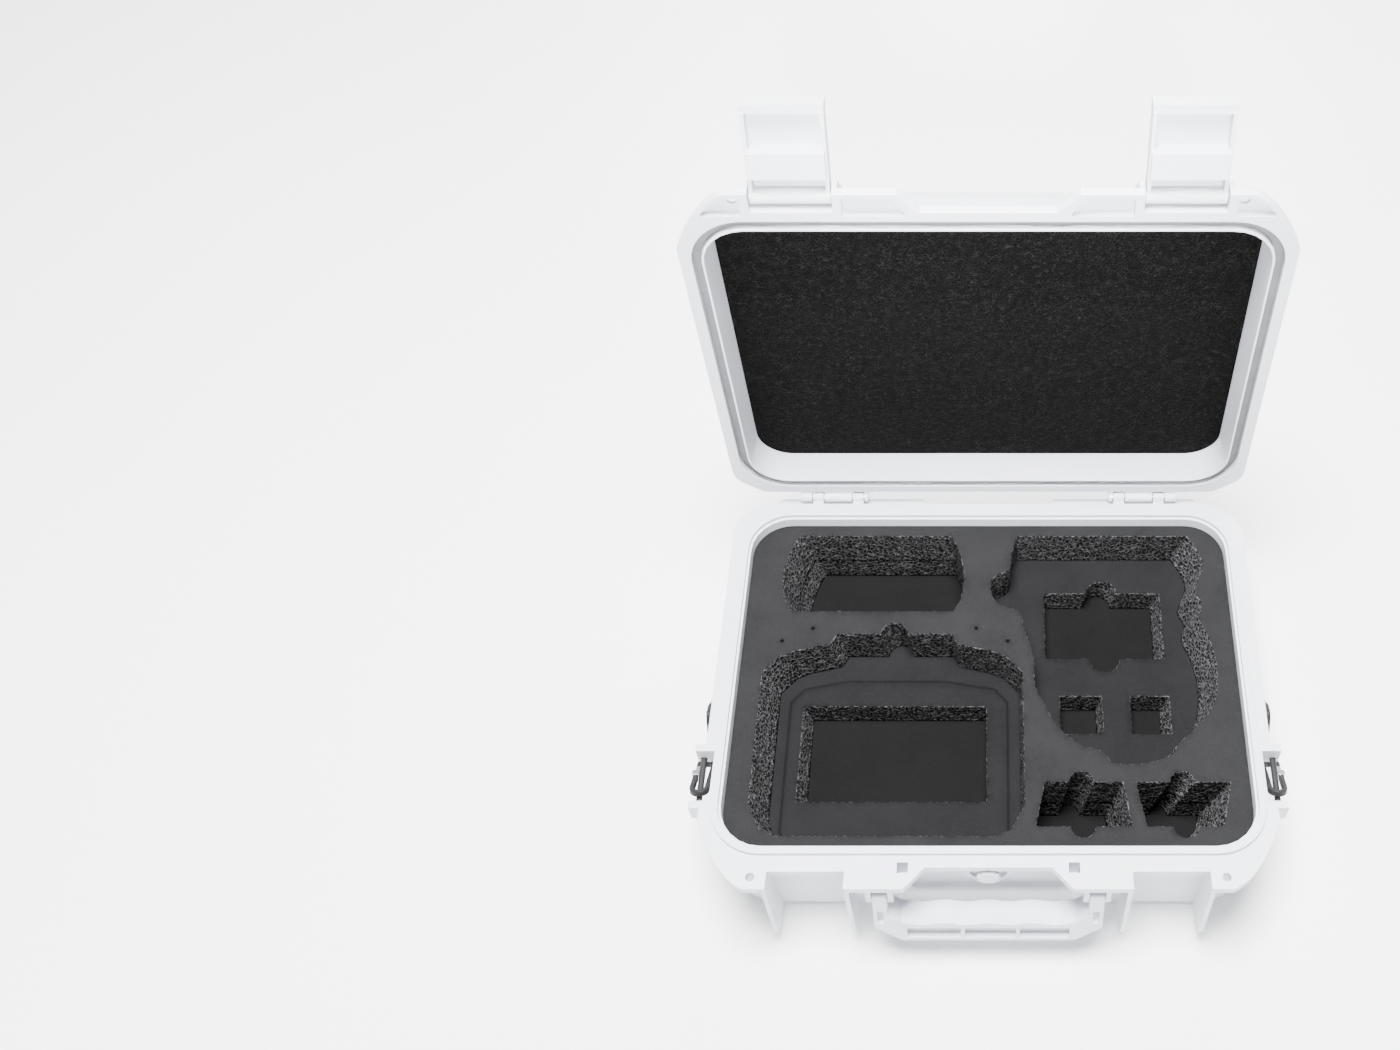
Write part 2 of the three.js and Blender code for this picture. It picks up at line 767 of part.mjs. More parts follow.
function valveKnob() {
  const front = -WALL.y - 5.5;
  const grip = Array.from({ length: 8 }, (_, i) => {
    const angle = (i * Math.PI) / 4;
    return rodY(1.5, front - 1, front + 8, 7.6 * Math.cos(angle), VALVE.z + 7.6 * Math.sin(angle), 8);
  });
  return rodY(7.4, front, -WALL.y - 0.8, 0, VALVE.z).subtract(union(grip));
}

// ---- label -------------------------------------------------------------------------------

// A plain four-rotor mark: a rounded body, four arms and four rotor rings.
function quadcopterMark(z0, z1) {
  const arms = [1, -1].map((sign) => {
    const bar = new THREE.BoxGeometry(30, 2.2, z1 - z0);
    return solid(bar.rotateZ(sign * Math.atan2(11, 15)).translate(0, 0, (z0 + z1) / 2));
  });
  const rings = [45, 135, 225, 315].map((degrees) => {
    const angle = THREE.MathUtils.degToRad(degrees);
    const [x, y] = [21 * Math.cos(angle), 15.4 * Math.sin(angle)];
    return rodZ(4.6, z0, z1, x, y, 12).subtract(rodZ(3.4, z0 - 1, z1 + 1, x, y, 12));
  });
  return union(loft([section(z0, 5, -7, 7, 4), section(z1, 4.6, -6.6, 6.6, 3.6)]), arms, rings);
}

// ---- snap hooks and strap ------------------------------------------------------------------

// A round-ended link that reaches above the bar, which leaves room for the hook's lean.
function stadium(radius, drop) {
  const shape = new THREE.Shape();
  shape.moveTo(radius, -drop);
  shape.lineTo(radius, HOOK.rise);
  shape.absarc(0, HOOK.rise, radius, 0, Math.PI);
  shape.lineTo(-radius, -drop);
  shape.absarc(0, -drop, radius, Math.PI, Math.PI * 2);
  return shape;
}

// The hook hangs from the lug bar at its local origin, with its gate towards +X.
function hookBody() {
  const { bore, wire, width, straight } = HOOK;
  const link = plateY(stadium(bore + wire, straight), -width / 2, width / 2, 7);
  const eye = plateY(stadium(bore, straight), -width, width, 7);
  const mouth = box(1.5, bore + wire + 1, -width, width, 2.5 - straight, -7.5);
  return union(
    link.subtract(union(eye, mouth)),
    rodZ(4.5, -straight - bore - wire - 4, -straight - bore - 1, 0, 0, 14),
    rodZ(2, RING.top - 4, -straight - bore - 2, 0, 0, 10),
    rodZ(3, RING.top - 6, RING.top - 4, 0, 0, 10),
  );
}

function hookGate() {
  const { bore, wire, straight } = HOOK;
  const lever = box(bore + 0.2, bore + wire - 0.2, -1.7, 1.7, 3 - straight, -7.9);
  return lever.add(box(bore + wire - 0.5, bore + wire + 1.6, -1.7, 1.7, -13, -9.5));
}

function strapRing() {
  const { half, top, drop, bar } = RING;
  const frame = roundedRectangle(half, top - drop, top, 4);
  frame.holes.push(roundedRectangle(half - bar, top - drop + bar, top - bar, 1));
  const collar = rodZ(4.5, top - 1, top + 6, 0, 0, 14);
  const bore = rodZ(2 + GAP, top - 5, top + 8, 0, 0, 10);
  return plateX(frame, -bar / 2, bar / 2, 3).add(collar).subtract(bore);
}

// The shoulder strap is webbing standing on edge: a thin band along the route from hook to hook.
const STRAP = { width: 50, thickness: 1.6, tail: 0.03, rest: 0.5 - BASE_HEIGHT + 25 };

// The right half of the route: x, y, z of the band's centre and its lean from upright in degrees.
const strapHalf = [
  [0, 152.5, STRAP.rest + 2, 0],
  [28, 152.5, STRAP.rest + 2, 0],
  [62, 156, STRAP.rest, 0],
  [98, 155, STRAP.rest, 0],
  [132, 153, STRAP.rest, 0],
  [159, 142, STRAP.rest, 0],
  [177, 121, STRAP.rest, 0],
  [184, 93, STRAP.rest, 0],
  [182, 62, STRAP.rest, 0],
  [184.5, 36, STRAP.rest + 2, 6],
  [185.5, 10, STRAP.rest + 9, 18],
  [183.8, -12, STRAP.rest + 20, 28],
  [LUG_BAR.x, -29.5, LUG_BAR.z - 26.9, 30],
];
const strapRoute = [
  ...strapHalf.slice(1).reverse().map(([x, y, z, lean]) => [-x, y, z, lean]),
  ...strapHalf,
];

// A stretch of the strap between two fractions of its length.
function band(from, to, steps) {
  const centreLine = new THREE.CatmullRomCurve3(strapRoute.map(([x, y, z]) => new THREE.Vector3(x, y, z)));
  const leanPoints = strapRoute.map(([, , , lean], i) => new THREE.Vector3(i, lean, 0));
  const leans = new THREE.CatmullRomCurve3(leanPoints);
  const middle = (strapRoute.length - 1) / 2;
  const positions = [];
  for (let i = 0; i <= steps; i++) {
    const t = centreLine.getUtoTmapping(from + ((to - from) * i) / steps);
    const centre = centreLine.getPoint(t);
    const tangent = centreLine.getTangent(t);
    const away = t * 2 * middle < middle ? 1 : -1;
    const level = new THREE.Vector3(tangent.x, tangent.y, 0).normalize().multiplyScalar(away);
    const angle = THREE.MathUtils.degToRad(leans.getPoint(t).y);
    const up = new THREE.Vector3(0, 0, Math.cos(angle)).addScaledVector(level, Math.sin(angle));
    const across = up.clone().cross(tangent).normalize();
    for (const [u, v] of [[-1, -1], [1, -1], [1, 1], [-1, 1]]) {
      const corner = centre.clone();
      corner.addScaledVector(across, (u * STRAP.thickness) / 2);
      corner.addScaledVector(up, (v * STRAP.width) / 2);
      positions.push(...corner);
    }
  }
  const end = steps * 4;
  const index = [0, 2, 1, 0, 3, 2, end, end + 1, end + 2, end, end + 2, end + 3];
  for (let a = 0; a < end; a++) {
    const b = a % 4 === 3 ? a - 3 : a + 1;
    index.push(a, b, a + 4, b, b + 4, a + 4);
  }
  const geometry = new THREE.BufferGeometry();
  geometry.setAttribute("position", new THREE.Float32BufferAttribute(positions, 3));
  return solid(geometry.setIndex(index));
}

// The strap's adjuster: a flat frame that the webbing runs through.
function slider() {
  const [y, z] = [strapHalf[0][1], strapHalf[0][2]];
  const frame = box(-13, 13, y - 3.6, y + 3.6, z - 27, z + 27);
  return frame.subtract(box(-14, 14, y - 1.8, y + 1.8, z - 25.3, z + 25.3));
}

// ---- assembly ----------------------------------------------------------------------------

function hookGroup(name, side) {
  const hook = new THREE.Group();
  hook.position.set(side * LUG_BAR.x, LUG.y, LUG_BAR.z);
  hook.rotation.x = THREE.MathUtils.degToRad(HOOK_TILT);
  hook.scale.x = side;
  hook.add(
    mesh("hook_body_" + name, hookBody(), finish.black),
    mesh("hook_gate_" + name, hookGate(), finish.steel),
    mesh("strap_ring_" + name, strapRing(), finish.black),
  );
  return hook;
}

function latchGroup(name, side) {
  return turned(LATCH.y, LATCH.z, -LATCH_OPEN, [mesh("latch_" + name, latch(side), finish.shell)]);
}

function pinPair(name, radius, x0, x1, y, z, sides) {
  return Object.entries(SIDES).map(([end, side]) => {
    const [a, b] = side > 0 ? [x0, x1] : [-x1, -x0];
    return mesh(name + "_" + end, rodX(radius, a, b, y, z, sides), finish.steel);
  });
}

function lidGroup() {
  const seat = LID_HEIGHT - 0.6 + GAP;
  const label = roundedRectangle(34, -18.8, 18.8, 4);
  return turned(HINGE.y, 0, -LID_OPEN, [
    mesh("lid_shell", lidShell(), finish.shell),
    mesh("lid_foam", fill(lidCavity, LID_FOAM_FACE, LID_HEIGHT - 3.2 - GAP), finish.lidFoam),
    mesh("lid_seal", rimBand(1.2, 6.2, 3.4, 5 - GAP), finish.seal),
    mesh("label_plate", slab(label, seat, seat + 1, 5), finish.gloss),
    mesh("label_mark", quadcopterMark(seat + 1 + GAP / 3, seat + 1.6), finish.silver),
    ...pinPair("latch_pin", LATCH.pin, BAY.x - 26, BAY.x + 26, LATCH.y, LATCH.z, 16),
    ...Object.entries(SIDES).map(([name, side]) => latchGroup(name, side)),
  ]);
}

function caseGroup() {
  const made = new THREE.Group();
  const strapMiddle = [STRAP.tail + 0.0003, 1 - STRAP.tail - 0.0003];
  made.add(
    mesh("base_shell", baseShell(), finish.shell),
    ...foamPieces(),
    ...pinPair("hinge_pin", HINGE.pin, HINGE_CUTS[0], HINGE_CUTS[5], HINGE.y, 0, 16),
    ...pinPair("handle_pin", HANDLE.pin, 57.5, 75, HANDLE.y, HANDLE.z, 20),
    ...Object.entries(SIDES).map(([name, side]) =>
      mesh("lug_bar_" + name, lugBar(side, LUG_BAR.radius, LUG_BAR.inset), finish.black),
    ),
    mesh("valve_knob", valveKnob(), finish.shell),
    turned(HANDLE.y, HANDLE.z, HANDLE_HANG, [mesh("handle", handle(), finish.shell)]),
    lidGroup(),
    ...Object.entries(SIDES).map(([name, side]) => hookGroup(name, side)),
    mesh("strap_tail_left", band(0, STRAP.tail, 4), finish.webbing),
    mesh("strap_tail_right", band(1 - STRAP.tail, 1, 4), finish.webbing),
    mesh("strap_middle", band(...strapMiddle, 56), finish.webbing),
    mesh("strap_slider", slider(), finish.black),
  );
  made.position.z = BASE_HEIGHT;
  return made;
}

const group = new THREE.Group();
group.add(caseGroup());

export default group;
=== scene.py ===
"""Looks of the drone carrying case around its CAD frame. Metres, +Z up, the handle side towards -Y."""
import math

import bmesh
import bpy
import numpy as np
from mathutils import Matrix, Vector, noise
from mathutils.geometry import delaunay_2d_cdt


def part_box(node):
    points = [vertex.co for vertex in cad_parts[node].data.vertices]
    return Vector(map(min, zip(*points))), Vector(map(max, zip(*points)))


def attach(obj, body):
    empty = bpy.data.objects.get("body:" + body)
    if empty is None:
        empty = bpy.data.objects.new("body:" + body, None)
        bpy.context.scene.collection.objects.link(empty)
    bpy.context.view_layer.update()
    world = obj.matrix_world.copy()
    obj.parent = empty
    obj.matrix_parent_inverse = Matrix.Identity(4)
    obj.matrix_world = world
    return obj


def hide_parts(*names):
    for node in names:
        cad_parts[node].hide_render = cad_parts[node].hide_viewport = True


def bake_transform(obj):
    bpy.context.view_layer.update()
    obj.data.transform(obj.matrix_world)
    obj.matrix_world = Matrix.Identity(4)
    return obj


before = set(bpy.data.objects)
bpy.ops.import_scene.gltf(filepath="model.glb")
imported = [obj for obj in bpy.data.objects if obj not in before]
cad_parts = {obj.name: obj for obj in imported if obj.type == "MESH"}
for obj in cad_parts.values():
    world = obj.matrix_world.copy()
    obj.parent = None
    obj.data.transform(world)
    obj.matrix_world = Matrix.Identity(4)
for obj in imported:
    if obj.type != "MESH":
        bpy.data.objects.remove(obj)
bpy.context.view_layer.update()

MM = 0.001
GAP = 0.3 * MM
SIDES = {"left": -1, "right": 1}

# Stations of the case, as the CAD part has them
PARTING = 94 * MM
HINGE = Vector((0, 142.5 * MM, PARTING))
LID_OPEN = math.radians(88)
LUG = Vector((182.5 * MM, -76 * MM, PARTING - 11.5 * MM))
HOOK_TILT = math.radians(60)

# ---- camera, floor and light ---------------------------------------------------------------

LOOK_DOWN = math.radians(53.3)
CAMERA_DISTANCE = 1.03
SENSOR = 36.0
LENS = 36.77
SHIFT = (-0.206, -0.02)
FLOOR_HALF = 6.0
FLOOR_STEPS = 24


def make_camera():
    """The open case fills the right of the picture, seen from the front and above."""
    data = bpy.data.cameras.new("camera")
    data.sensor_width = SENSOR
    data.lens = LENS
    data.shift_x, data.shift_y = SHIFT
    data.clip_start = 50 * MM
    camera = bpy.data.objects.new("camera", data)
    sight = Vector((0, math.cos(LOOK_DOWN), -math.sin(LOOK_DOWN)))
    camera.location = HINGE - sight * CAMERA_DISTANCE
    camera.rotation_euler = (math.pi / 2 - LOOK_DOWN, 0, 0)
    bpy.context.scene.collection.objects.link(camera)
    bpy.context.scene.camera = camera


def area_light(name, place, target, size, energy, spread=180):
    """A round light at a place, turned to a target, with its spread in degrees."""
    data = bpy.data.lights.new(name, "AREA")
    data.shape = "DISK"
    data.spread = math.radians(spread)
    data.size = size
    data.energy = energy
    light = bpy.data.objects.new(name, data)
    light.location = place
    light.rotation_euler = (Vector(target) - Vector(place)).to_track_quat("-Z", "Y").to_euler()
    bpy.context.scene.collection.objects.link(light)


def make_light():
    """A pale room, a broad light above, a narrow one on the lid and a soft one from behind."""
    world = bpy.data.worlds.new("studio")
    world.use_nodes = True
    background = world.node_tree.nodes["Background"]
    background.inputs["Color"].default_value = (0.97, 0.98, 1.0, 1)
    background.inputs["Strength"].default_value = 0.34
    bpy.context.scene.world = world
    middle = (0, 0, 0.1)
    area_light("key", (-0.1, -0.15, 2.2), middle, 0.9, 310)
    area_light("front", (0.0, -1.5, 1.3), (0, 0.14, 0.40), 0.3, 2.4, 18)
    area_light("back", (0.4, 1.7, 1.6), middle, 1.2, 50)


def make_floor():
    mesh = bmesh.new()
    bmesh.ops.create_grid(mesh, x_segments=FLOOR_STEPS, y_segments=FLOOR_STEPS, size=FLOOR_HALF)
    floor = mesh_object("floor", mesh)
    floor.data.materials.append(floor_finish())


def mesh_object(name, mesh):
    data = bpy.data.meshes.new(name)
    mesh.to_mesh(data)
    mesh.free()
    made = bpy.data.objects.new(name, data)
    bpy.context.scene.collection.objects.link(made)
    return made


# ---- finishes ------------------------------------------------------------------------------


class Finish:
    """A Principled material, with short calls for its nodes."""

    def __init__(self, name, color, roughness, metallic=0.0):
        self.material = bpy.data.materials.new(name)
        self.material.use_nodes = True
        self.tree = self.material.node_tree
        self.shader = self.tree.nodes["Principled BSDF"]
        self.set("Base Color", color)
        self.set("Roughness", roughness)
        self.set("Metallic", metallic)
        self.place = self.node("TexCoord", {}).outputs["Object"]
        self.bumps = None

    def set(self, socket, value):
        """Sets a shader socket, or links one to it."""
        if isinstance(value, bpy.types.NodeSocket):
            self.tree.links.new(value, self.shader.inputs[socket])
        elif isinstance(value, tuple) and len(value) == 3:
            self.shader.inputs[socket].default_value = (*value, 1)
        else:
            self.shader.inputs[socket].default_value = value

    def node(self, kind, inputs, **settings):
        made = self.tree.nodes.new("ShaderNode" + kind)
        for key, value in settings.items():
            setattr(made, key, value)
        for key, value in inputs.items():
            if isinstance(value, bpy.types.NodeSocket):
                self.tree.links.new(value, made.inputs[key])
            else:
                made.inputs[key].default_value = value
        return made

    def noise(self, scale, detail=2.0, place=None, roughness=0.5):
        inputs = {"Vector": place or self.place, "Scale": scale, "Detail": detail, "Roughness": roughness}
        return self.node("TexNoise", inputs).outputs["Fac"]

    def cells(self, scale, place=None, feature="F1"):
        inputs = {"Vector": place or self.place, "Scale": scale}
        return self.node("TexVoronoi", inputs, feature=feature).outputs["Distance"]

    def stretched(self, scale):
        """The place, stretched for streaks and weaves."""
        return self.node("Mapping", {"Vector": self.place, "Scale": scale}).outputs["Vector"]

    def warped(self, scale, amount):
        """The place, pushed about by noise."""
        push = self.node("TexNoise", {"Vector": self.place, "Scale": scale, "Detail": 2.0}).outputs["Color"]
        centred = self.node("VectorMath", {0: push, 1: (0.5, 0.5, 0.5)}, operation="SUBTRACT").outputs[0]
        shift = self.node("VectorMath", {0: centred, "Scale": amount}, operation="SCALE").outputs[0]
        return self.node("VectorMath", {0: self.place, 1: shift}, operation="ADD").outputs[0]

    def math(self, operation, a, b=0.0):
        return self.node("Math", {0: a, 1: b}, operation=operation).outputs[0]

    def remap(self, value, low, high, to_low, to_high):
        inputs = {"Value": value, "From Min": low, "From Max": high, "To Min": to_low, "To Max": to_high}
        return self.node("MapRange", inputs).outputs["Result"]

    def ramp(self, value, stops):
        """Colours along a value: stops are (position, colour)."""
        made = self.node("ValToRGB", {"Fac": value})
        elements = made.color_ramp.elements
        while len(elements) < len(stops):
            elements.new(0.5)
        for element, (position, color) in zip(elements, stops):
            element.position = position
            element.color = (*color, 1)
        return made.outputs["Color"]

    def bump(self, height, distance, strength=1.0):
        inputs = {"Height": height, "Distance": distance, "Strength": strength}
        if self.bumps:
            inputs["Normal"] = self.bumps
        self.bumps = self.node("Bump", inputs).outputs["Normal"]
        self.set("Normal", self.bumps)


def tinted(color, by):
    return tuple(channel * by for channel in color)


def floor_finish():
    """White paper that glows a little."""
    finish = Finish("floor_paper", (0.9, 0.9, 0.905), 0.8)
    tone = finish.noise(3, 3)
    finish.set("Base Color", finish.ramp(tone, [(0.3, (0.895, 0.897, 0.9)), (0.7, (0.91, 0.912, 0.915))]))
    finish.bump(finish.noise(600, 2), 0.0001, 0.3)
    finish.set("Emission Color", (1.0, 1.0, 1.0))
    finish.set("Emission Strength", 0.3)
    return finish.material


def shell_finish():
    """Moulded plastic: a fine spark-eroded grain, faint sink marks, and scuffs that only change the gloss."""
    color = (0.62, 0.64, 0.685)
    finish = Finish("moulded_shell", color, 0.45)
    tone = finish.noise(7, 4)
    finish.set("Base Color", finish.ramp(tone, [(0.3, tinted(color, 0.975)), (0.7, tinted(color, 1.01))]))
    scuff = finish.noise(1, 5, finish.stretched((40, 260, 120)), 0.7)
    blotch = finish.noise(26, 4)
    worn, scuffed = finish.remap(blotch, 0.35, 0.7, 0.36, 0.5), finish.remap(scuff, 0.6, 0.72, 0, 0.1)
    finish.set("Roughness", finish.math("ADD", worn, scuffed))
    finish.set("Specular IOR Level", 0.45)
    finish.bump(finish.noise(12, 1), 0.0006, 0.35)
    finish.bump(finish.noise(1900, 2), 0.00007, 0.6)
    return finish.material


def foam_skin_finish(name, painted_depth_shade):
    """The insert's sliced face: charcoal, smooth from afar, with fine closed cells. Its colours are
    multiplied by a painted shade factor below 1 for the lower layers, whose faces are the pocket floors, as
    painted shade of the deep pockets.
    """
    # The factor passed in is painted shade: it darkens the middle and bottom layers' colours to stand in for
    # the shade on the pocket floors.
    finish = Finish(name, tinted((0.015, 0.015, 0.016), painted_depth_shade), 0.92)
    cell = finish.cells(1250, finish.warped(500, 0.0009))
    patch = finish.noise(24, 5, roughness=0.65)
    tone = finish.math("ADD", finish.math("MULTIPLY", cell, 0.35), finish.math("MULTIPLY", patch, 0.65))
    dark, pale = tinted((0.0095, 0.0095, 0.0102), painted_depth_shade), tinted((0.0145, 0.0145, 0.0154), painted_depth_shade)
    finish.set("Base Color", finish.ramp(tone, [(0.3, dark), (0.62, pale)]))
    finish.set("Specular IOR Level", 0.08)
    finish.bump(cell, 0.0002, 0.5)
    finish.bump(finish.noise(150, 3), 0.0004, 0.35)
    return finish.material


def foam_cut_finish():
    """The torn cells of a cut wall: pale strands round dark pits."""
    finish = Finish("insert_foam_cut", (0.05, 0.05, 0.052), 0.85)
    place = finish.warped(330, 0.003)
    edge = finish.cells(330, place, "DISTANCE_TO_EDGE")
    fine = finish.noise(1300, 3)
    strand = finish.math("ADD", edge, finish.math("MULTIPLY", fine, 0.12))
    stops = [(0.07, (0.105, 0.105, 0.109)), (0.14, (0.025, 0.025, 0.026)), (0.26, (0.004, 0.004, 0.0042))]
    finish.set("Base Color", finish.ramp(strand, stops))
    finish.set("Specular IOR Level", 0.15)
    finish.bump(finish.remap(strand, 0.05, 0.4, 1, 0), 0.0009, 0.9)
    return finish.material


def lid_foam_finish():
    """The lid's pad: nearly black foam with a fine pale speckle."""
    finish = Finish("lid_foam_face", (0.014, 0.014, 0.013), 0.95)
    cell = finish.cells(520, finish.warped(260, 0.0024), "DISTANCE_TO_EDGE")
    cloud = finish.noise(300, 4, roughness=0.7)
    tone = finish.math("ADD", cell, finish.math("MULTIPLY", cloud, 0.35))
    speckle, face, pit = (0.0135, 0.0132, 0.0125), (0.0018, 0.0017, 0.0016), (0.0004, 0.0004, 0.0003)
    finish.set("Base Color", finish.ramp(tone, [(0.15, speckle), (0.23, face), (0.38, pit)]))
    finish.set("Specular IOR Level", 0.08)
    finish.bump(finish.remap(cell, 0, 0.35, 1, 0), 0.0005, 0.8)
    return finish.material


def rubber_finish():
    """The seal: dull grey rubber."""
    finish = Finish("seal_rubber", (0.12, 0.122, 0.127), 0.62)
    tone = finish.noise(90, 3)
    finish.set("Base Color", finish.ramp(tone, [(0.3, (0.105, 0.107, 0.112)), (0.7, (0.135, 0.137, 0.142))]))
    finish.bump(finish.noise(1400, 2), 0.00008, 0.6)
    return finish.material


def steel_finish():
    """Drawn pin wire, with fine lines along it."""
    finish = Finish("pin_steel", (0.56, 0.57, 0.59), 0.3, 1.0)
    line = finish.noise(1, 3, finish.stretched((60, 3200, 3200)))
    finish.set("Roughness", finish.remap(line, 0.3, 0.7, 0.22, 0.42))
    finish.bump(line, 0.00003, 0.6)
    return finish.material


def black_finish(name, roughness, grain):
    """Black coating or plastic, a little polished where it is handled."""
    finish = Finish(name, (0.012, 0.012, 0.013), roughness)
    finish.set("Specular IOR Level", 0.2)
    polish = finish.noise(70, 4)
    finish.set("Roughness", finish.remap(polish, 0.3, 0.7, roughness - 0.08, roughness + 0.1))
    finish.set("Base Color", finish.ramp(polish, [(0.3, (0.010, 0.010, 0.011)), (0.75, (0.02, 0.02, 0.021))]))
    finish.bump(finish.noise(grain, 2), 0.00008, 0.6)
    return finish.material


def webbing_finish():
    """Flat grey webbing: cross ribs at the pitch of its weft, and fine warp lines, from the strap's map."""
    weft_pitch, warp_pitch = 0.0016, 0.0011
    finish = Finish("strap_webbing", (0.32, 0.32, 0.31), 0.42)
    thread = finish.node("UVMap", {}, uv_map="weave").outputs["UV"]
    split = finish.node("SeparateXYZ", {"Vector": thread})
    across, along = split.outputs["X"], split.outputs["Y"]
    wobble = finish.math("MULTIPLY", finish.noise(160, 2), 0.0006)
    wavy = finish.math("ADD", along, wobble)
    weft = finish.math("SINE", finish.math("MULTIPLY", wavy, 2 * math.pi / weft_pitch))
    warp = finish.math("SINE", finish.math("MULTIPLY", across, 2 * math.pi / warp_pitch))
    cross = finish.math("MULTIPLY", weft, warp)
    weave = finish.math("ADD", finish.math("MULTIPLY", weft, 0.6), finish.math("MULTIPLY", cross, 0.4))
    level = finish.remap(weave, -1, 1, 0, 1)
    cloud = finish.noise(34, 4)
    tone = finish.math("ADD", finish.math("MULTIPLY", level, 0.75), finish.math("MULTIPLY", cloud, 0.25))
    stops = [(0.15, (0.21, 0.21, 0.2)), (0.5, (0.31, 0.31, 0.297)), (0.85, (0.4, 0.4, 0.385))]
    finish.set("Base Color", finish.ramp(tone, stops))
    finish.set("Sheen Weight", 0.3)
    finish.set("Sheen Roughness", 0.35)
    finish.set("Anisotropic", 0.4)
    finish.bump(level, 0.00022, 0.9)
    return finish.material


def thread_finish():
    """Twisted sewing thread, a little paler than the webbing."""
    finish = Finish("strap_thread", (0.36, 0.36, 0.345), 0.6)
    twist = finish.noise(1, 2, finish.stretched((2400, 900, 900)))
    finish.set("Base Color", finish.ramp(twist, [(0.35, (0.28, 0.28, 0.27)), (0.65, (0.42, 0.42, 0.4))]))
    finish.bump(twist, 0.0001, 0.6)
    return finish.material


def gloss_finish():
    """The label: black glass-like resin with a clear coat and a trace of dust."""
    finish = Finish("label_gloss_black", (0.005, 0.005, 0.006), 0.08)
    dust = finish.noise(900, 3)
    finish.set("Roughness", finish.remap(dust, 0.45, 0.75, 0.06, 0.16))
    finish.set("Specular IOR Level", 0.25)
    finish.set("Coat Weight", 0.1)
    finish.set("Coat Roughness", 0.04)
    finish.bump(finish.noise(40, 2), 0.0001, 0.2)
    return finish.material


def silver_finish():
    """The label's mark: brushed metal foil."""
    finish = Finish("label_silver", (0.62, 0.63, 0.64), 0.28, 1.0)
    brushed = finish.noise(1, 3, finish.stretched((220, 4200, 4200)))
    finish.set("Roughness", finish.remap(brushed, 0.3, 0.7, 0.2, 0.4))
    finish.bump(brushed, 0.00004, 0.5)
    return finish.material


# ---- CAD nodes that stay -------------------------------------------------------------------

MERGE = 0.002 * MM

# Angles between two faces: flat below the first, rounded above the second, shaded apart above the third
FLAT = math.radians(0.05)
ROUNDED = math.radians(35)
CREASED = math.radians(50)

# Widths of rounded edges
FINE_EDGE = 0.15 * MM
SHELL_EDGE = 0.24 * MM
SMALL_EDGE = 0.3 * MM
HOOK_EDGE = 0.5 * MM
BUCKLE_EDGE = 0.6 * MM


def dress(node, material, edge):
    """Gives a CAD node its finish, and rounds its edges by edge metres.
    Flat faces are cut into plainer triangles first, so that the rounding folds over in as few as it can."""
    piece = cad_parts[node]
    piece.data.materials.clear()
    piece.data.materials.append(material)
    piece.data.polygons.foreach_set("use_smooth", [True] * len(piece.data.polygons))
    weld = piece.modifiers.new("weld", "WELD")
    weld.merge_threshold = MERGE
    plain = piece.modifiers.new("plain", "DECIMATE")
    plain.decimate_type = "DISSOLVE"
    plain.angle_limit = FLAT
    facets = piece.modifiers.new("facets", "TRIANGULATE")
    facets.quad_method = facets.ngon_method = "BEAUTY"
    bevel = piece.modifiers.new("edge", "BEVEL")
    bevel.width = edge
    bevel.segments = 2
    bevel.limit_method = "ANGLE"
    bevel.angle_limit = ROUNDED
    bevel.use_clamp_overlap = False
    split = piece.modifiers.new("split", "EDGE_SPLIT")
    split.split_angle = CREASED
    normals = piece.modifiers.new("normals", "WEIGHTED_NORMAL")
    normals.keep_sharp = True


def dress_nodes():
    shell = shell_finish()
    steel = steel_finish()
    coated = black_finish("hook_coating", 0.5, 700)
    moulded = black_finish("buckle_plastic", 0.45, 1500)
    for node in ("base_shell", "lid_shell", "latch_left", "latch_right", "handle", "valve_knob"):
        dress(node, shell, SHELL_EDGE)
    dress("lid_seal", rubber_finish(), SMALL_EDGE)
    for side in SIDES:
        for pin in ("hinge_pin_", "handle_pin_", "latch_pin_"):
            dress(pin + side, steel, SMALL_EDGE)
        dress("hook_gate_" + side, steel, SMALL_EDGE)
        dress("lug_bar_" + side, coated, SMALL_EDGE)
        dress("hook_body_" + side, coated, HOOK_EDGE)
        dress("strap_ring_" + side, coated, BUCKLE_EDGE)
    dress("strap_slider", moulded, BUCKLE_EDGE)
    dress("label_plate", gloss_finish(), SMALL_EDGE)
    dress("label_mark", silver_finish(), FINE_EDGE)


# ---- outlines of the insert, in millimetres seen from above --------------------------------


class Outline:
    """A closed outline drawn with lines and curves."""

    def __init__(self, x, y):
        self.points = [(x, y)]

    def line(self, x, y):
        self.points.append((x, y))
        return self

    def curve(self, bend_x, bend_y, x, y, steps=12):
        """A quadratic curve that bends towards (bend_x, bend_y)."""
        x0, y0 = self.points[-1]
        for i in range(1, steps + 1):
            t = i / steps
            a, b, c = (1 - t) ** 2, 2 * t * (1 - t), t * t
            self.points.append((a * x0 + b * bend_x + c * x, a * y0 + b * bend_y + c * y))
        return self

    def arc(self, x, y, radius, start, end, steps=14):
        """A stretch of circle between two angles in half turns."""
        for i in range(steps + 1):
            angle = math.pi * (start + (end - start) * i / steps)
            self.points.append((x + radius * math.cos(angle), y + radius * math.sin(angle)))
        return self

    def smooth(self, points, steps=8):
        """A Catmull-Rom curve from the last point through the given ones."""
        route = [Vector((*p, 0)) for p in [self.points[-1], *points]]
        self.points += [tuple(p.xy) for p in catmull_rom(route, steps, 0.0)[1:]]
        return self


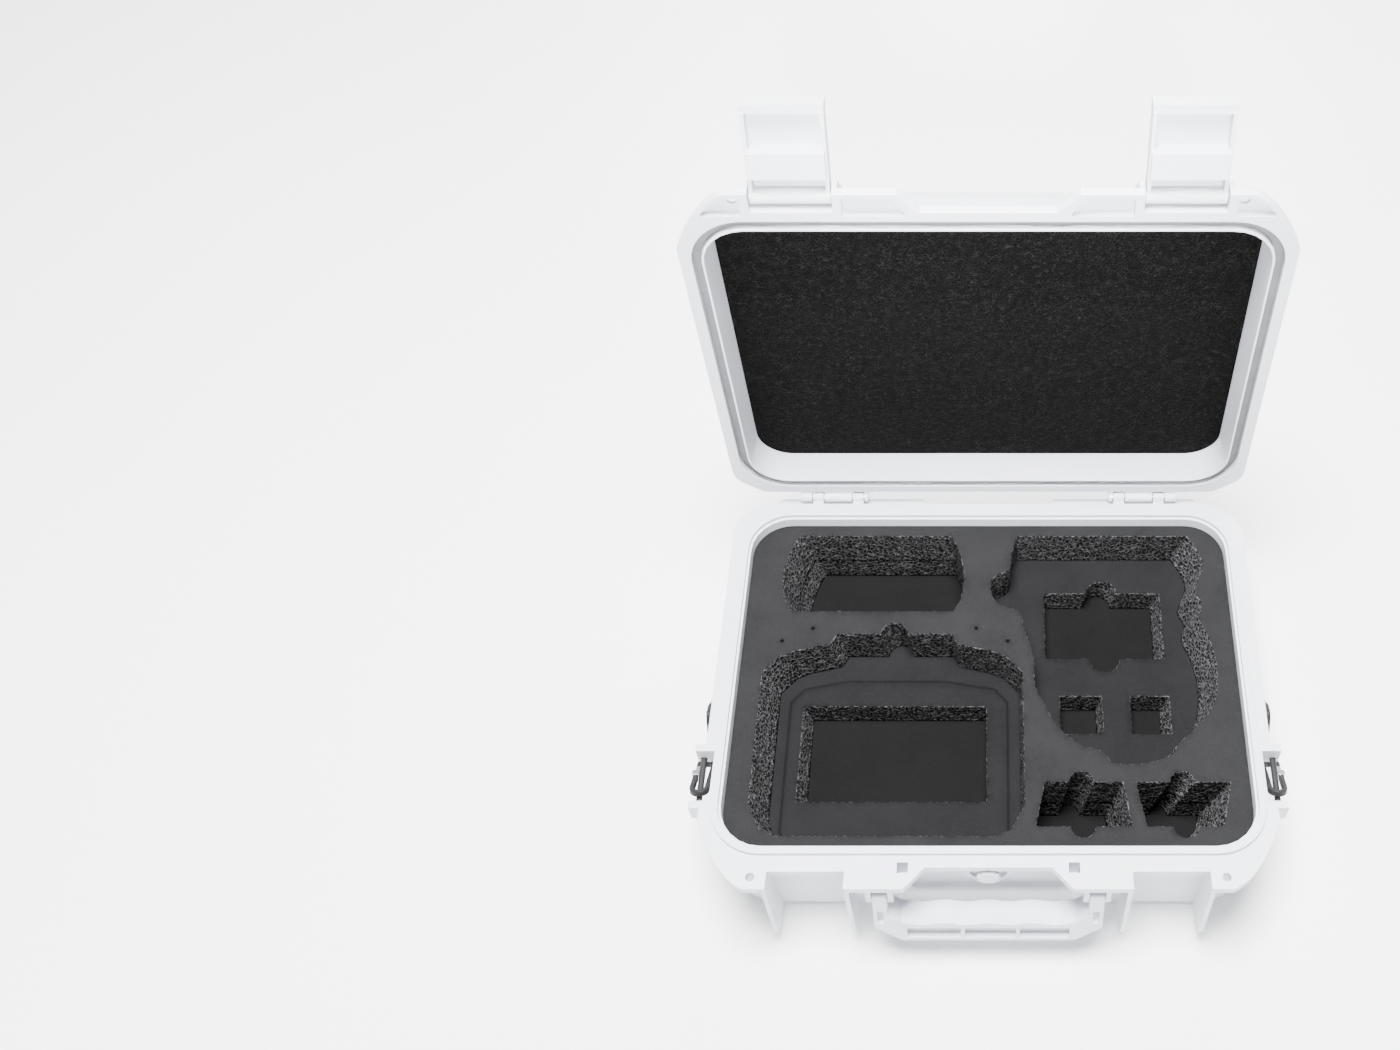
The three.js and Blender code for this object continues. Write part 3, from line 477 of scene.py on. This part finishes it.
def catmull_rom(points, steps, power=0.5):
    """Points along a Catmull-Rom curve; power 0.5 is centripetal, 0 uniform."""
    ends = [2 * points[0] - points[1], *points, 2 * points[-1] - points[-2]]
    made = [points[0].copy()]
    for p0, p1, p2, p3 in zip(ends, ends[1:], ends[2:], ends[3:]):
        d0, d1, d2 = [max((b - a).length, 1e-9) ** power for a, b in ((p0, p1), (p1, p2), (p2, p3))]
        t1 = ((p1 - p0) / d0 - (p2 - p0) / (d0 + d1) + (p2 - p1) / d1) * d1
        t2 = ((p2 - p1) / d1 - (p3 - p1) / (d1 + d2) + (p3 - p2) / d2) * d1
        for i in range(1, steps + 1):
            t = i / steps
            c2 = 3 * (p2 - p1) - 2 * t1 - t2
            c3 = 2 * (p1 - p2) + t1 + t2
            made.append(p1 + t1 * t + c2 * t * t + c3 * t ** 3)
    return made


def charger_pocket():
    """A long well with bowed ends."""
    made = Outline(-133, 112.5).curve(-139, 104, -142.5, 84).curve(-144, 64, -135, 50.5)
    return made.line(-24, 50.5).curve(-16, 64, -17.5, 84).curve(-21, 104, -27, 112.5).points


def controller_pocket():
    """Broad shoulders, a stepped head with a round bump, square hips."""
    centre = -63.9
    right = [(38.5, 31.5), (43, 23.5), (65, 18.5), (75, 14.5), (86.4, 2.5), (86.4, -91.5)]
    right += [(78, -108.5), (68, -112.9)]
    made = Outline(centre + right[-1][0], right[-1][1])
    for x, y in right[-2::-1]:
        made.line(centre + x, y)
    made.arc(centre, 31.5, 8.8, 0, 1)
    for x, y in right:
        made.line(centre - x, y)
    return made.points


def rectangle(x0, x1, y0, y1):
    return [(x0, y0), (x1, y0), (x1, y1), (x0, y1)]


def drone_pocket():
    """A flat rear, arm bulges down both sides and a rounded nose."""
    left = [(17, 100), (15, 85), (4, 78), (2, 69), (7, 57), (21, 50), (25, 36), (31, 12), (31, -6)]
    nose = [(36, -19), (45, -37), (58, -49), (74, -56), (80, -63), (98, -64), (117, -58), (122, -50)]
    right = [(134, -39), (148, -20), (152, 6), (149, 28), (143.5, 44), (146.5, 56), (142.5, 68)]
    return Outline(21, 112.5).smooth(left + nose + right + [(149.5, 86), (148, 98), (141, 112.5)]).points


def gimbal_pocket():
    """A square well with a finger cut at the middle of two sides."""
    centre, half, top, bottom, finger = 81, 41, 83.5, 30.5, 10.5
    made = Outline(centre + half, bottom).line(centre + half, top)
    made.arc(centre, top, finger, 0, 1).line(centre - half, top).line(centre - half, bottom)
    return made.arc(centre, bottom, finger, 1, 2).points


def battery_pocket(far_left, far_right, near_left, near_right, finger):
    """A tapered well with a finger cut at both ends."""
    far, near, radius = -77.5, -106.5, 7.5
    made = Outline(near_right, near).line(far_right, far).arc(finger, far, radius, 0, 1)
    made.line(far_left, far).line(near_left, near)
    return made.arc(finger, near, radius, 1, 2).points


def rounded_rectangle(half_x, y0, y1, corner, steps=14, straight=24):
    """Points of a rounded rectangle, the same number for any size, anticlockwise."""
    centres = [(half_x - corner, y1 - corner), (corner - half_x, y1 - corner)]
    centres += [(corner - half_x, y0 + corner), (half_x - corner, y0 + corner)]
    corners = []
    for quarter, (x, y) in enumerate(centres):
        angles = [(quarter + i / steps) * math.pi / 2 for i in range(steps + 1)]
        corners.append([(x + corner * math.cos(a), y + corner * math.sin(a)) for a in angles])
    made = []
    for here, after in zip(corners, corners[1:] + corners[:1]):
        made += here
        (x0, y0), (x1, y1) = here[-1], after[0]
        shares = [i / straight for i in range(1, straight)]
        made += [(x0 + (x1 - x0) * t, y0 + (y1 - y0) * t) for t in shares]
    return made


def resampled(points, step):
    """A closed outline with points at an even spacing, its sharp corners kept, in an anticlockwise order."""
    ring = np.array(points, float)
    keep = np.linalg.norm(ring - np.roll(ring, 1, 0), axis=1) > 1e-6
    ring = ring[keep]
    area = np.sum(ring[:, 0] * np.roll(ring[:, 1], -1) - np.roll(ring[:, 0], -1) * ring[:, 1])
    if area < 0:
        ring = ring[::-1]
    made = []
    for a, b in zip(ring, np.roll(ring, -1, 0)):
        count = max(1, round(np.linalg.norm(b - a) / step))
        made += [a + (b - a) * i / count for i in range(count)]
    return np.array(made)


def outward(ring):
    """Unit normals of an anticlockwise ring, pointing out of it."""
    along = np.roll(ring, -1, 0) - np.roll(ring, 1, 0)
    normal = np.stack([along[:, 1], -along[:, 0]], 1)
    return normal / np.linalg.norm(normal, axis=1)[:, None]


def inside(points, ring):
    """Which points lie inside a closed ring."""
    result = np.zeros(len(points), bool)
    for (x0, y0), (x1, y1) in zip(ring, np.roll(ring, -1, 0)):
        if y0 == y1:
            continue
        crosses = (points[:, 1] < y0) != (points[:, 1] < y1)
        at = x0 + (points[:, 1] - y0) * (x1 - x0) / (y1 - y0)
        result ^= crosses & (points[:, 0] < at)
    return result


def far_from(points, others, distance):
    """Which points are further than distance from all the others."""
    result = np.ones(len(points), bool)
    batch = 500
    for start in range(0, len(points), batch):
        gaps = np.linalg.norm(points[start:start + batch, None] - others[None], axis=2)
        result[start:start + batch] = gaps.min(1) > distance
    return result


# ---- foam ----------------------------------------------------------------------------------

# Spacing of points on cut walls, faces and the pressed line, and how far a face's points keep off its rims,
# in millimetres
WALL_STEP = 1.3
FACE_STEP = 5.0
PRESS_STEP = 4.0
FACE_MARGIN = 2.6

# Torn cells of a cut wall: size and depth in millimetres, how steeply they sink, and the share of their depth
# that is left at the top
CELL = 2.9
PIT = 1.0
PIT_STEEPNESS = 1.8
TOP_SHARE = 0.35

# How far a rim is rounded in millimetres, and the share that a pocket draws in by for each millimetre below
# its mouth
EDGE_ROUND = 0.45
POCKET_LEAN = 0.002

# A facet that drops by this many millimetres is shaded flat
STEEP = 1.0

# Heights in millimetres above the parting plane; the lid pad's are those before it is turned over
TOP, SHELF = -7, -37
LID_PAD_LEVELS = (-38.5, -23.0)

# Waviness of the faces: height and length in millimetres, and for the pad a seed of its own
INSERT_WAVES = (0.25, 30)
LID_PAD_WAVES = (0.12, 45, 5)

# Material slots of a slab
FACE, CUT = 0, 1

FOAM_NODES = ("foam_top", "foam_middle", "foam_bottom")


def pit_depth(x, y, z):
    """How deep a torn cell goes at a point of a cut wall, from 0 at a strand to 1."""
    distances = noise.voronoi(Vector((x, y, z)) / CELL)[0]
    return min(1.0, (distances[1] - distances[0]) * PIT_STEEPNESS)


def wall_levels(z0, z1):
    """Heights of a cut wall's rows: (height, how much of the roughness, how far the edge is rounded)."""
    count = max(2, round((z1 - z0) / WALL_STEP))
    rows = [(z0 + (z1 - EDGE_ROUND - z0) * i / count, 1.0, 0.0) for i in range(count + 1)]
    rows[0] = (z0, 0.0, 0.0)
    return rows + [(z1, TOP_SHARE, EDGE_ROUND)]


def wall(mesh, rings, flip, material):
    """Quads between stacked rings of vertices."""
    for low, high in zip(rings, rings[1:]):
        count = len(low)
        for i in range(count):
            j = (i + 1) % count
            corners = (low[i], low[j], high[j], high[i])
            face = mesh.faces.new(corners[::-1] if flip else corners)
            face.material_index = material
            face.smooth = True


def ring_edges(start, count):
    """Index pairs round a closed ring of count points."""
    return [(start + i, start + (i + 1) % count) for i in range(count)]


def cap(mesh, border, outline, holes, points, up):
    """A face inside an outline that leaves its holes open, filled between closed rings of border vertices.
    points holds groups of inner points as (x, y, z): loose ones first, and then each ring of a groove."""
    inner = [p for group in points for p in group]
    places = [v.co.xy for ring in border for v in ring] + [Vector(p[:2]) for p in inner]
    vertices = [v for ring in border for v in ring]
    edges = []
    start = 0
    for ring in border:
        edges += ring_edges(start, len(ring))
        start += len(ring)
    start += len(points[0])
    for groove in points[1:]:
        edges += ring_edges(start, len(groove))
        start += len(groove)
    vertices += [mesh.verts.new(p) for p in inner]
    out = delaunay_2d_cdt(places, edges, [], 0, 1e-5)
    flat = np.array([tuple(p) for p in out[0]])
    known = [vertices[origin[0]] if origin else None for origin in out[3]]
    triangles = np.array([tuple(f) for f in out[2]])
    centres = flat[triangles].mean(1)
    shown = inside(centres, outline)
    for hole in holes:
        shown &= ~inside(centres, hole)
    height = border[0][0].co.z
    for i in sorted(set(triangles[shown].ravel())):
        if known[i] is None:
            known[i] = mesh.verts.new((*flat[i], height))
    for triangle in triangles[shown]:
        corners = [known[i] for i in triangle]
        if len(set(corners)) < 3:
            continue
        face = mesh.faces.new(corners if up else corners[::-1])
        face.material_index = FACE
        heights = [corner.co.z for corner in corners]
        face.smooth = max(heights) - min(heights) < STEEP


def rough_ring(mesh, ring, normals, row):
    """One row of a pocket's wall, with cells torn into the foam behind it."""
    z, share, rounding = row
    made = []
    for (x, y), (nx, ny) in zip(ring, normals):
        depth = PIT * share * pit_depth(x, y, z) + rounding
        made.append(mesh.verts.new((x + nx * depth, y + ny * depth, z)))
    return made


def leaned(ring, mouth, z):
    """A pocket's ring at a depth below its mouth, where its walls have drawn in towards the case's middle."""
    return ring * (1 - POCKET_LEAN * (mouth - z), 1)


def face_points(outline, holes, rims, relief, z):
    """A grid of points over a face, clear of its edges, at the heights that relief gives."""
    low, high = outline.min(0), outline.max(0)
    xs = np.arange(low[0] + FACE_STEP, high[0], FACE_STEP)
    ys = np.arange(low[1] + FACE_STEP, high[1], FACE_STEP)
    grid = np.array([(x, y) for y in ys for x in xs])
    kept = inside(grid, outline) & far_from(grid, np.concatenate(rims), FACE_MARGIN)
    for hole in holes:
        kept &= ~inside(grid, hole)
    return [(x, y, z + relief(x, y)) for x, y in grid[kept]]


def pinhole(x, y, z):
    """Points of a small pinhole in a face: a rim and a sunk middle."""
    radius, depth, sides = 1.4, 16, 10
    angles = [2 * math.pi * i / sides for i in range(sides)]
    rim = [(x + radius * math.cos(a), y + radius * math.sin(a), z) for a in angles]
    return rim + [(x, y, z - depth)]


def foam_slab(name, outline_at, z0, z1, pockets, relief, pinholes=(), grooves=()):
    """A layer of foam in millimetres: a smooth outside, torn pocket walls, and faces above and below.
    Each pocket is an outline and the height of its mouth."""
    mesh = bmesh.new()
    heights = [z0, (z0 + z1) / 2, z1 - EDGE_ROUND, z1]
    outside = [outline_at(z) for z in heights]
    outside[-1] = outside[-1] - outward(outside[-1]) * EDGE_ROUND
    rings = [[mesh.verts.new((x, y, z)) for x, y in ring] for ring, z in zip(outside, heights)]
    wall(mesh, rings, False, FACE)
    tops, bottoms, cuts = [rings[-1]], [rings[0]], []
    for pocket, mouth in pockets:
        ring = resampled(pocket, WALL_STEP)
        normals = outward(ring)
        rows = [rough_ring(mesh, leaned(ring, mouth, row[0]), normals, row) for row in wall_levels(z0, z1)]
        wall(mesh, rows, True, CUT)
        tops.append(rows[-1])
        bottoms.append(rows[0])
        cuts.append(leaned(ring, mouth, z0))
    rims = [np.array([v.co.xy for v in ring]) for ring in tops]
    lines = [np.array([p[:2] for p in groove]) for groove in grooves]
    pricks = [p for x, y in pinholes for p in pinhole(x, y, z1)]
    guards = rims + lines + ([np.array([p[:2] for p in pricks])] if pricks else [])
    grid = face_points(rims[0], rims[1:], guards, relief, z1)
    cap(mesh, tops, rims[0], rims[1:], [grid + pricks, *grooves], True)
    cap(mesh, bottoms, outside[0], cuts, [[]], False)
    bmesh.ops.recalc_face_normals(mesh, faces=mesh.faces)
    return mesh_object(name, mesh)


def between(sections):
    """Rounded rectangle at a height, from sections (z, half x, y0, y1, corner), less the fitting gap."""
    def outline_at(z):
        heights = [s[0] for s in sections]
        half, y0, y1, corner = [np.interp(z, heights, [s[k] for s in sections]) for k in (1, 2, 3, 4)]
        gap = GAP / MM
        return np.array(rounded_rectangle(half - gap, y0 + gap, y1 - gap, corner - gap))
    return outline_at


def sliced(depth, scale, seed=0):
    """Height of a sliced foam face: a slight waviness."""
    def relief(x, y):
        return depth * noise.noise(Vector((x, y, seed)) / scale)
    return relief


def groove_rings(outline, width, depth, z):
    """Three rings of points that press a shallow line into a face, along an outline."""
    ring = resampled(outline, PRESS_STEP)
    normals = outward(ring)
    made = []
    for step, drop in ((-width / 2, 0), (0, depth), (width / 2, 0)):
        line = ring - normals * step
        made.append([(x, y, z - drop) for x, y in line])
    return made


INSERT = between([
    (-90.5, 157, -113.5, 113.5, 19),
    (-82, 163.5, -120, 120, 24),
    (5, 166.3, -122.8, 122.8, 27),
])
LID_PAD = between([
    (-38.8, 156.5, -107.5, 116.5, 20),
    (-31, 160.5, -113, 119, 22),
    (-23, 163.4, -118.5, 121.3, 24),
])


def with_mouth(z, outlines):
    """Pockets that open at one height."""
    return [(outline, z) for outline in outlines]


def press_line():
    """The outline of the line pressed into the controller's shelf."""
    right = [(8, -104), (13, -98), (13, -4), (4, 6), (-30, 12)]
    left = [(-96, 12), (-125, 6), (-134, -4), (-134, -98)]
    return [(-130, -104), *right, *left]


def place_foam(piece, matrix, body, node):
    """Puts a slab drawn in millimetres in the place of its CAD node."""
    piece.data.transform(matrix @ Matrix.Scale(MM, 4))
    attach(piece, body)
    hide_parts(node)


def make_foam():
    """The insert's three layers: deep wells through the first two, and shelves with wells of their own. The
    middle and bottom layers get a darker skin as painted shade on the shelf and well floors.
    """
    cut = foam_cut_finish()
    up = Matrix.Translation((0, 0, PARTING))
    levels = {node: [(corner.z - PARTING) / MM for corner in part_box(node)] for node in FOAM_NODES}
    deep = [charger_pocket(), battery_pocket(36, 85, 30, 89, 59), battery_pocket(94, 153, 99, 146, 123)]
    shelves = [controller_pocket(), drone_pocket()]
    wells = [rectangle(-125, -1.5, -76.5, -7.5), gimbal_pocket()]
    wells += [rectangle(49, 77, -27.5, 0.5), rectangle(97, 123, -27.5, 0.5)]
    pinholes = [(-119.3, 36.5), (-8.2, 36.5), (-139.4, 26.5), (13.1, 26.5)]
    width, depth = 1.8, 1.25
    press = groove_rings(press_line(), width, depth, levels["foam_middle"][1])
    # The second value of each layer is a painted shade factor: the middle layer's shelves and the bottom
    # layer's well floors are painted darker to stand in for the shade in the pockets.
    layers = [
        ("foam_top", 1.0, with_mouth(TOP, deep + shelves), pinholes, ()),
        ("foam_middle", 0.62, with_mouth(TOP, deep) + with_mouth(SHELF, wells), (), press),
        ("foam_bottom", 0.32, [], (), ()),
    ]
    for node, painted_depth_shade, pockets, holes, grooves in layers:
        low, high = levels[node]
        waves = sliced(*INSERT_WAVES)
        piece = foam_slab("insert_" + node, INSERT, low, high, pockets, waves, holes, grooves)
        piece.data.materials.append(foam_skin_finish("insert_skin_" + node, painted_depth_shade))
        piece.data.materials.append(cut)
        place_foam(piece, up, "root", node)


def make_lid_pad():
    """The pad is drawn face up, so it is turned over and then swung open with the lid."""
    piece = foam_slab("lid_pad", LID_PAD, *LID_PAD_LEVELS, [], sliced(*LID_PAD_WAVES))
    piece.data.materials.append(lid_foam_finish())
    over = Matrix.Rotation(math.pi, 4, "Y")
    swing = Matrix.Translation(HINGE) @ Matrix.Rotation(-LID_OPEN, 4, "X") @ Matrix.Translation(-HINGE)
    place_foam(piece, swing @ Matrix.Translation((0, 0, PARTING)) @ over, "lid", "lid_foam")


# ---- shoulder strap ------------------------------------------------------------------------

STRAP_WIDTH = 50 * MM
STRAP_THICKNESS = 1.6 * MM
STRAP_STEP = 2.4 * MM

# How much the width wavers, how often for each metre, and where the cloth's face lies from its middle
STRAP_RIPPLE = 0.012
RIPPLE_SCALE = 55
FACE_HEIGHT = 0.42 * STRAP_THICKNESS

# How far short of the slider's middle each half ends
SLIDER_GAP = 0.2 * MM

# The right half of the strap's route from the ring back to the slider: x, y and the height above the parting
# plane in millimetres, and its lean from upright in degrees. The left half mirrors it.
STRAP_HALF = [
    (182.5, -29.5, -38.4, 30),
    (183.8, -12, -48.5, 28),
    (185.5, 10, -59.5, 18),
    (184.5, 36, -66.5, 6),
    (182, 62, -68.5, 0),
    (184, 93, -68.5, 0),
    (177, 121, -68.5, 0),
    (159, 142, -68.5, 0),
    (132, 153, -68.5, 0),
    (98, 155, -68.5, 0),
    (62, 156, -68.5, 0),
    (28, 152.5, -66.5, 0),
    (0, 152.5, -66.5, 0),
]

# From the lug's bar to the ring's, and from the ring's to the middle of the webbing round it
RING_BAR = 50.75 * MM
BAR_WRAP = 2.75 * MM

# Distances along the strap from the ring's bar: where the two layers meet, where the sewn end stops,
# where the stitches begin and end, and where the strap starts to lie still
PINCH = 11 * MM
FOLD_BACK = 40 * MM
STITCH = (14 * MM, 36 * MM)
LIFTED = 190 * MM

# From the outer layer of the sewn end to the inner one
LAYER_PITCH = STRAP_THICKNESS + 0.15 * MM


def strap_axis(side):
    """Points along one half of the strap from the ring's bar: (distance, centre, width direction)."""
    steps = 14
    extended = [(-x, y, z, lean) for x, y, z, lean in STRAP_HALF[-2:-4:-1]]
    route = STRAP_HALF + extended
    centres = catmull_rom([Vector((x, y, z)) * MM + Vector((0, 0, PARTING)) for x, y, z, _ in route], steps)
    leans = catmull_rom([Vector((lean, 0, 0)) for *_, lean in route], steps, 0.0)
    last = (len(STRAP_HALF) - 1) * steps
    bar = LUG + Vector((0, math.sin(HOOK_TILT), -math.cos(HOOK_TILT))) * RING_BAR
    points = [(bar, leans[0].x)] + [(c, lean.x) for c, lean in zip(centres[:last + 1], leans)]
    made = []
    distance = 0.0
    for i, (centre, lean) in enumerate(points):
        ahead = points[min(i + 1, len(points) - 1)][0] - points[max(i - 1, 0)][0]
        if i:
            distance += (centre - points[i - 1][0]).length
        level = Vector((ahead.x, ahead.y, 0)).normalized()
        angle = math.radians(lean)
        up = Vector((0, 0, math.cos(angle))) + level * math.sin(angle)
        mirror = Vector((side, 1, 1))
        made.append((distance, centre * mirror, up * mirror))
    return made


def strap_at(axis, distance):
    """Centre and width direction of the strap at a distance from the ring's bar."""
    for (d0, c0, u0), (d1, c1, u1) in zip(axis, axis[1:]):
        if distance <= d1:
            t = (distance - d0) / (d1 - d0)
            return c0.lerp(c1, t), u0.lerp(u1, t).normalized()
    return axis[-1][1], axis[-1][2]


def spread_at(distance):
    """How far the two layers stand apart, from 1 beside the ring's bar to 0 where they meet."""
    return max(0.0, 1 - (distance - BAR_WRAP) / PINCH) ** 2


def strap_path(axis, side):
    """Centre and width direction along the webbing: its sewn end, round the bar, and on along the route."""
    out = Vector((side, 0, 0))
    made = []
    count = 14
    for i in range(count + 1):
        distance = FOLD_BACK + (BAR_WRAP - FOLD_BACK) * i / count
        centre, up = strap_at(axis, distance)
        made.append((centre - out * (LAYER_PITCH + (BAR_WRAP - LAYER_PITCH) * spread_at(distance)), up))
    bar, up = strap_at(axis, 0.0)
    along = (strap_at(axis, 2 * MM)[0] - bar).normalized()
    turns = 10
    for i in range(turns + 1):
        angle = math.pi * i / turns
        made.append((bar - out * BAR_WRAP * math.cos(angle) - along * BAR_WRAP * math.sin(angle), up))
    distance = BAR_WRAP
    while distance < axis[-1][0]:
        centre, up = strap_at(axis, distance)
        made.append((centre + out * BAR_WRAP * spread_at(distance), up))
        distance += STRAP_STEP
    made.append(strap_at(axis, axis[-1][0] - SLIDER_GAP))
    return made


def strap_section():
    """The webbing's cross-section with thicker selvedges, as shares (across, out) of width and thickness."""
    across = [-0.5, -0.49, -0.46, -0.42, -0.3, -0.15, 0, 0.15, 0.3, 0.42, 0.46, 0.49, 0.5]
    half = [0.2, 0.42, 0.5, 0.4, 0.38, 0.4, 0.39, 0.4, 0.38, 0.4, 0.5, 0.42, 0.2]
    front = list(zip(across, half))
    return front + [(a, -h) for a, h in reversed(front)]


def sweep(mesh, path, section, layer):
    """A closed band along a path of (centre, width direction), with its length and width as its map."""
    rings = []
    lengths = []
    length = 0.0
    for i, (centre, up) in enumerate(path):
        before, after = path[max(i - 1, 0)][0], path[min(i + 1, len(path) - 1)][0]
        tangent = (after - before).normalized()
        normal = tangent.cross(up).normalized()
        if i:
            length += (centre - path[i - 1][0]).length
        lengths.append(length)
        ripple = 1 + STRAP_RIPPLE * noise.noise(centre * RIPPLE_SCALE)
        ring = []
        for a, h in section:
            ring.append(mesh.verts.new(centre + up * a * STRAP_WIDTH * ripple + normal * h * STRAP_THICKNESS))
        rings.append(ring)
    count = len(section)
    for k, (low, high) in enumerate(zip(rings, rings[1:])):
        for i in range(count):
            j = (i + 1) % count
            face = mesh.faces.new((low[i], low[j], high[j], high[i]))
            face.smooth = True
            places = ((i, k), (j, k), (j, k + 1), (i, k + 1))
            for loop, (column, row) in zip(face.loops, places):
                loop[layer].uv = (section[column][0] * STRAP_WIDTH, lengths[row])
    mesh.faces.new(rings[0][::-1])
    mesh.faces.new(rings[-1])


def stitch(mesh, start, end, normal, radius):
    """One lockstitch: a short thread that bows out of the cloth between two points."""
    rows, sides, bow = 4, 6, 0.9
    along = (end - start).normalized()
    side = normal.cross(along)
    rings = []
    for i in range(rows + 1):
        t = i / rows
        centre = start.lerp(end, t) + normal * radius * bow * math.sin(math.pi * t)
        ring = []
        for k in range(sides):
            angle = 2 * math.pi * k / sides
            ring.append(mesh.verts.new(centre + (side * math.cos(angle) + normal * math.sin(angle)) * radius))
        rings.append(ring)
    faces = [rings[0][::-1], rings[-1]]
    for low, high in zip(rings, rings[1:]):
        faces += [(low[k], low[(k + 1) % sides], high[(k + 1) % sides], high[k]) for k in range(sides)]
    for corners in faces:
        face = mesh.faces.new(corners)
        face.material_index = 1
        face.smooth = True


def stitch_lines():
    """The sewn box and its cross, as pairs of points (distance along, share of the width)."""
    near, far = STITCH
    edge = 0.4
    corners = [(near, -edge), (near, edge), (far, edge), (far, -edge)]
    box = list(zip(corners, corners[1:] + corners[:1]))
    return box + [(corners[0], corners[2]), (corners[1], corners[3])]


def sew(mesh, axis, side):
    """Rows of stitches on both faces of the folded end."""
    pitch, radius, gap = 2.6 * MM, 0.32 * MM, 0.12
    out = Vector((side, 0, 0))
    faces = ((out, FACE_HEIGHT), (-out, LAYER_PITCH + FACE_HEIGHT))
    for (d0, a0), (d1, a1) in stitch_lines():
        length = math.hypot(d1 - d0, (a1 - a0) * STRAP_WIDTH)
        count = round(length / pitch)
        for i in range(count):
            for normal, height in faces:
                ends = []
                for t in ((i + gap) / count, (i + 1 - gap) / count):
                    centre, up = strap_at(axis, d0 + (d1 - d0) * t)
                    ends.append(centre + up * (a0 + (a1 - a0) * t) * STRAP_WIDTH + normal * height)
                stitch(mesh, *ends, normal, radius)


def make_strap():
    """Two halves that meet in the slider, each with its ring end on a hook and the rest lying still."""
    webbing = webbing_finish()
    thread = thread_finish()
    for name, side in SIDES.items():
        axis = strap_axis(side)
        mesh = bmesh.new()
        layer = mesh.loops.layers.uv.new("weave")
        sweep(mesh, strap_path(axis, side), strap_section(), layer)
        sew(mesh, axis, side)
        bmesh.ops.recalc_face_normals(mesh, faces=mesh.faces)
        piece = mesh_object("strap_half_" + name, mesh)
        piece.data.materials.append(webbing)
        piece.data.materials.append(thread)
        start, end = axis[0][1], strap_at(axis, LIFTED)[0]
        tuple(start)
        tuple(end)
        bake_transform(piece)
        nodes = ["strap_tail_" + name] + (["strap_middle"] if side > 0 else [])
        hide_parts(*nodes)


# ---- assembly ------------------------------------------------------------------------------

make_camera()
make_light()
make_floor()
dress_nodes()
make_foam()
make_lid_pad()
make_strap()
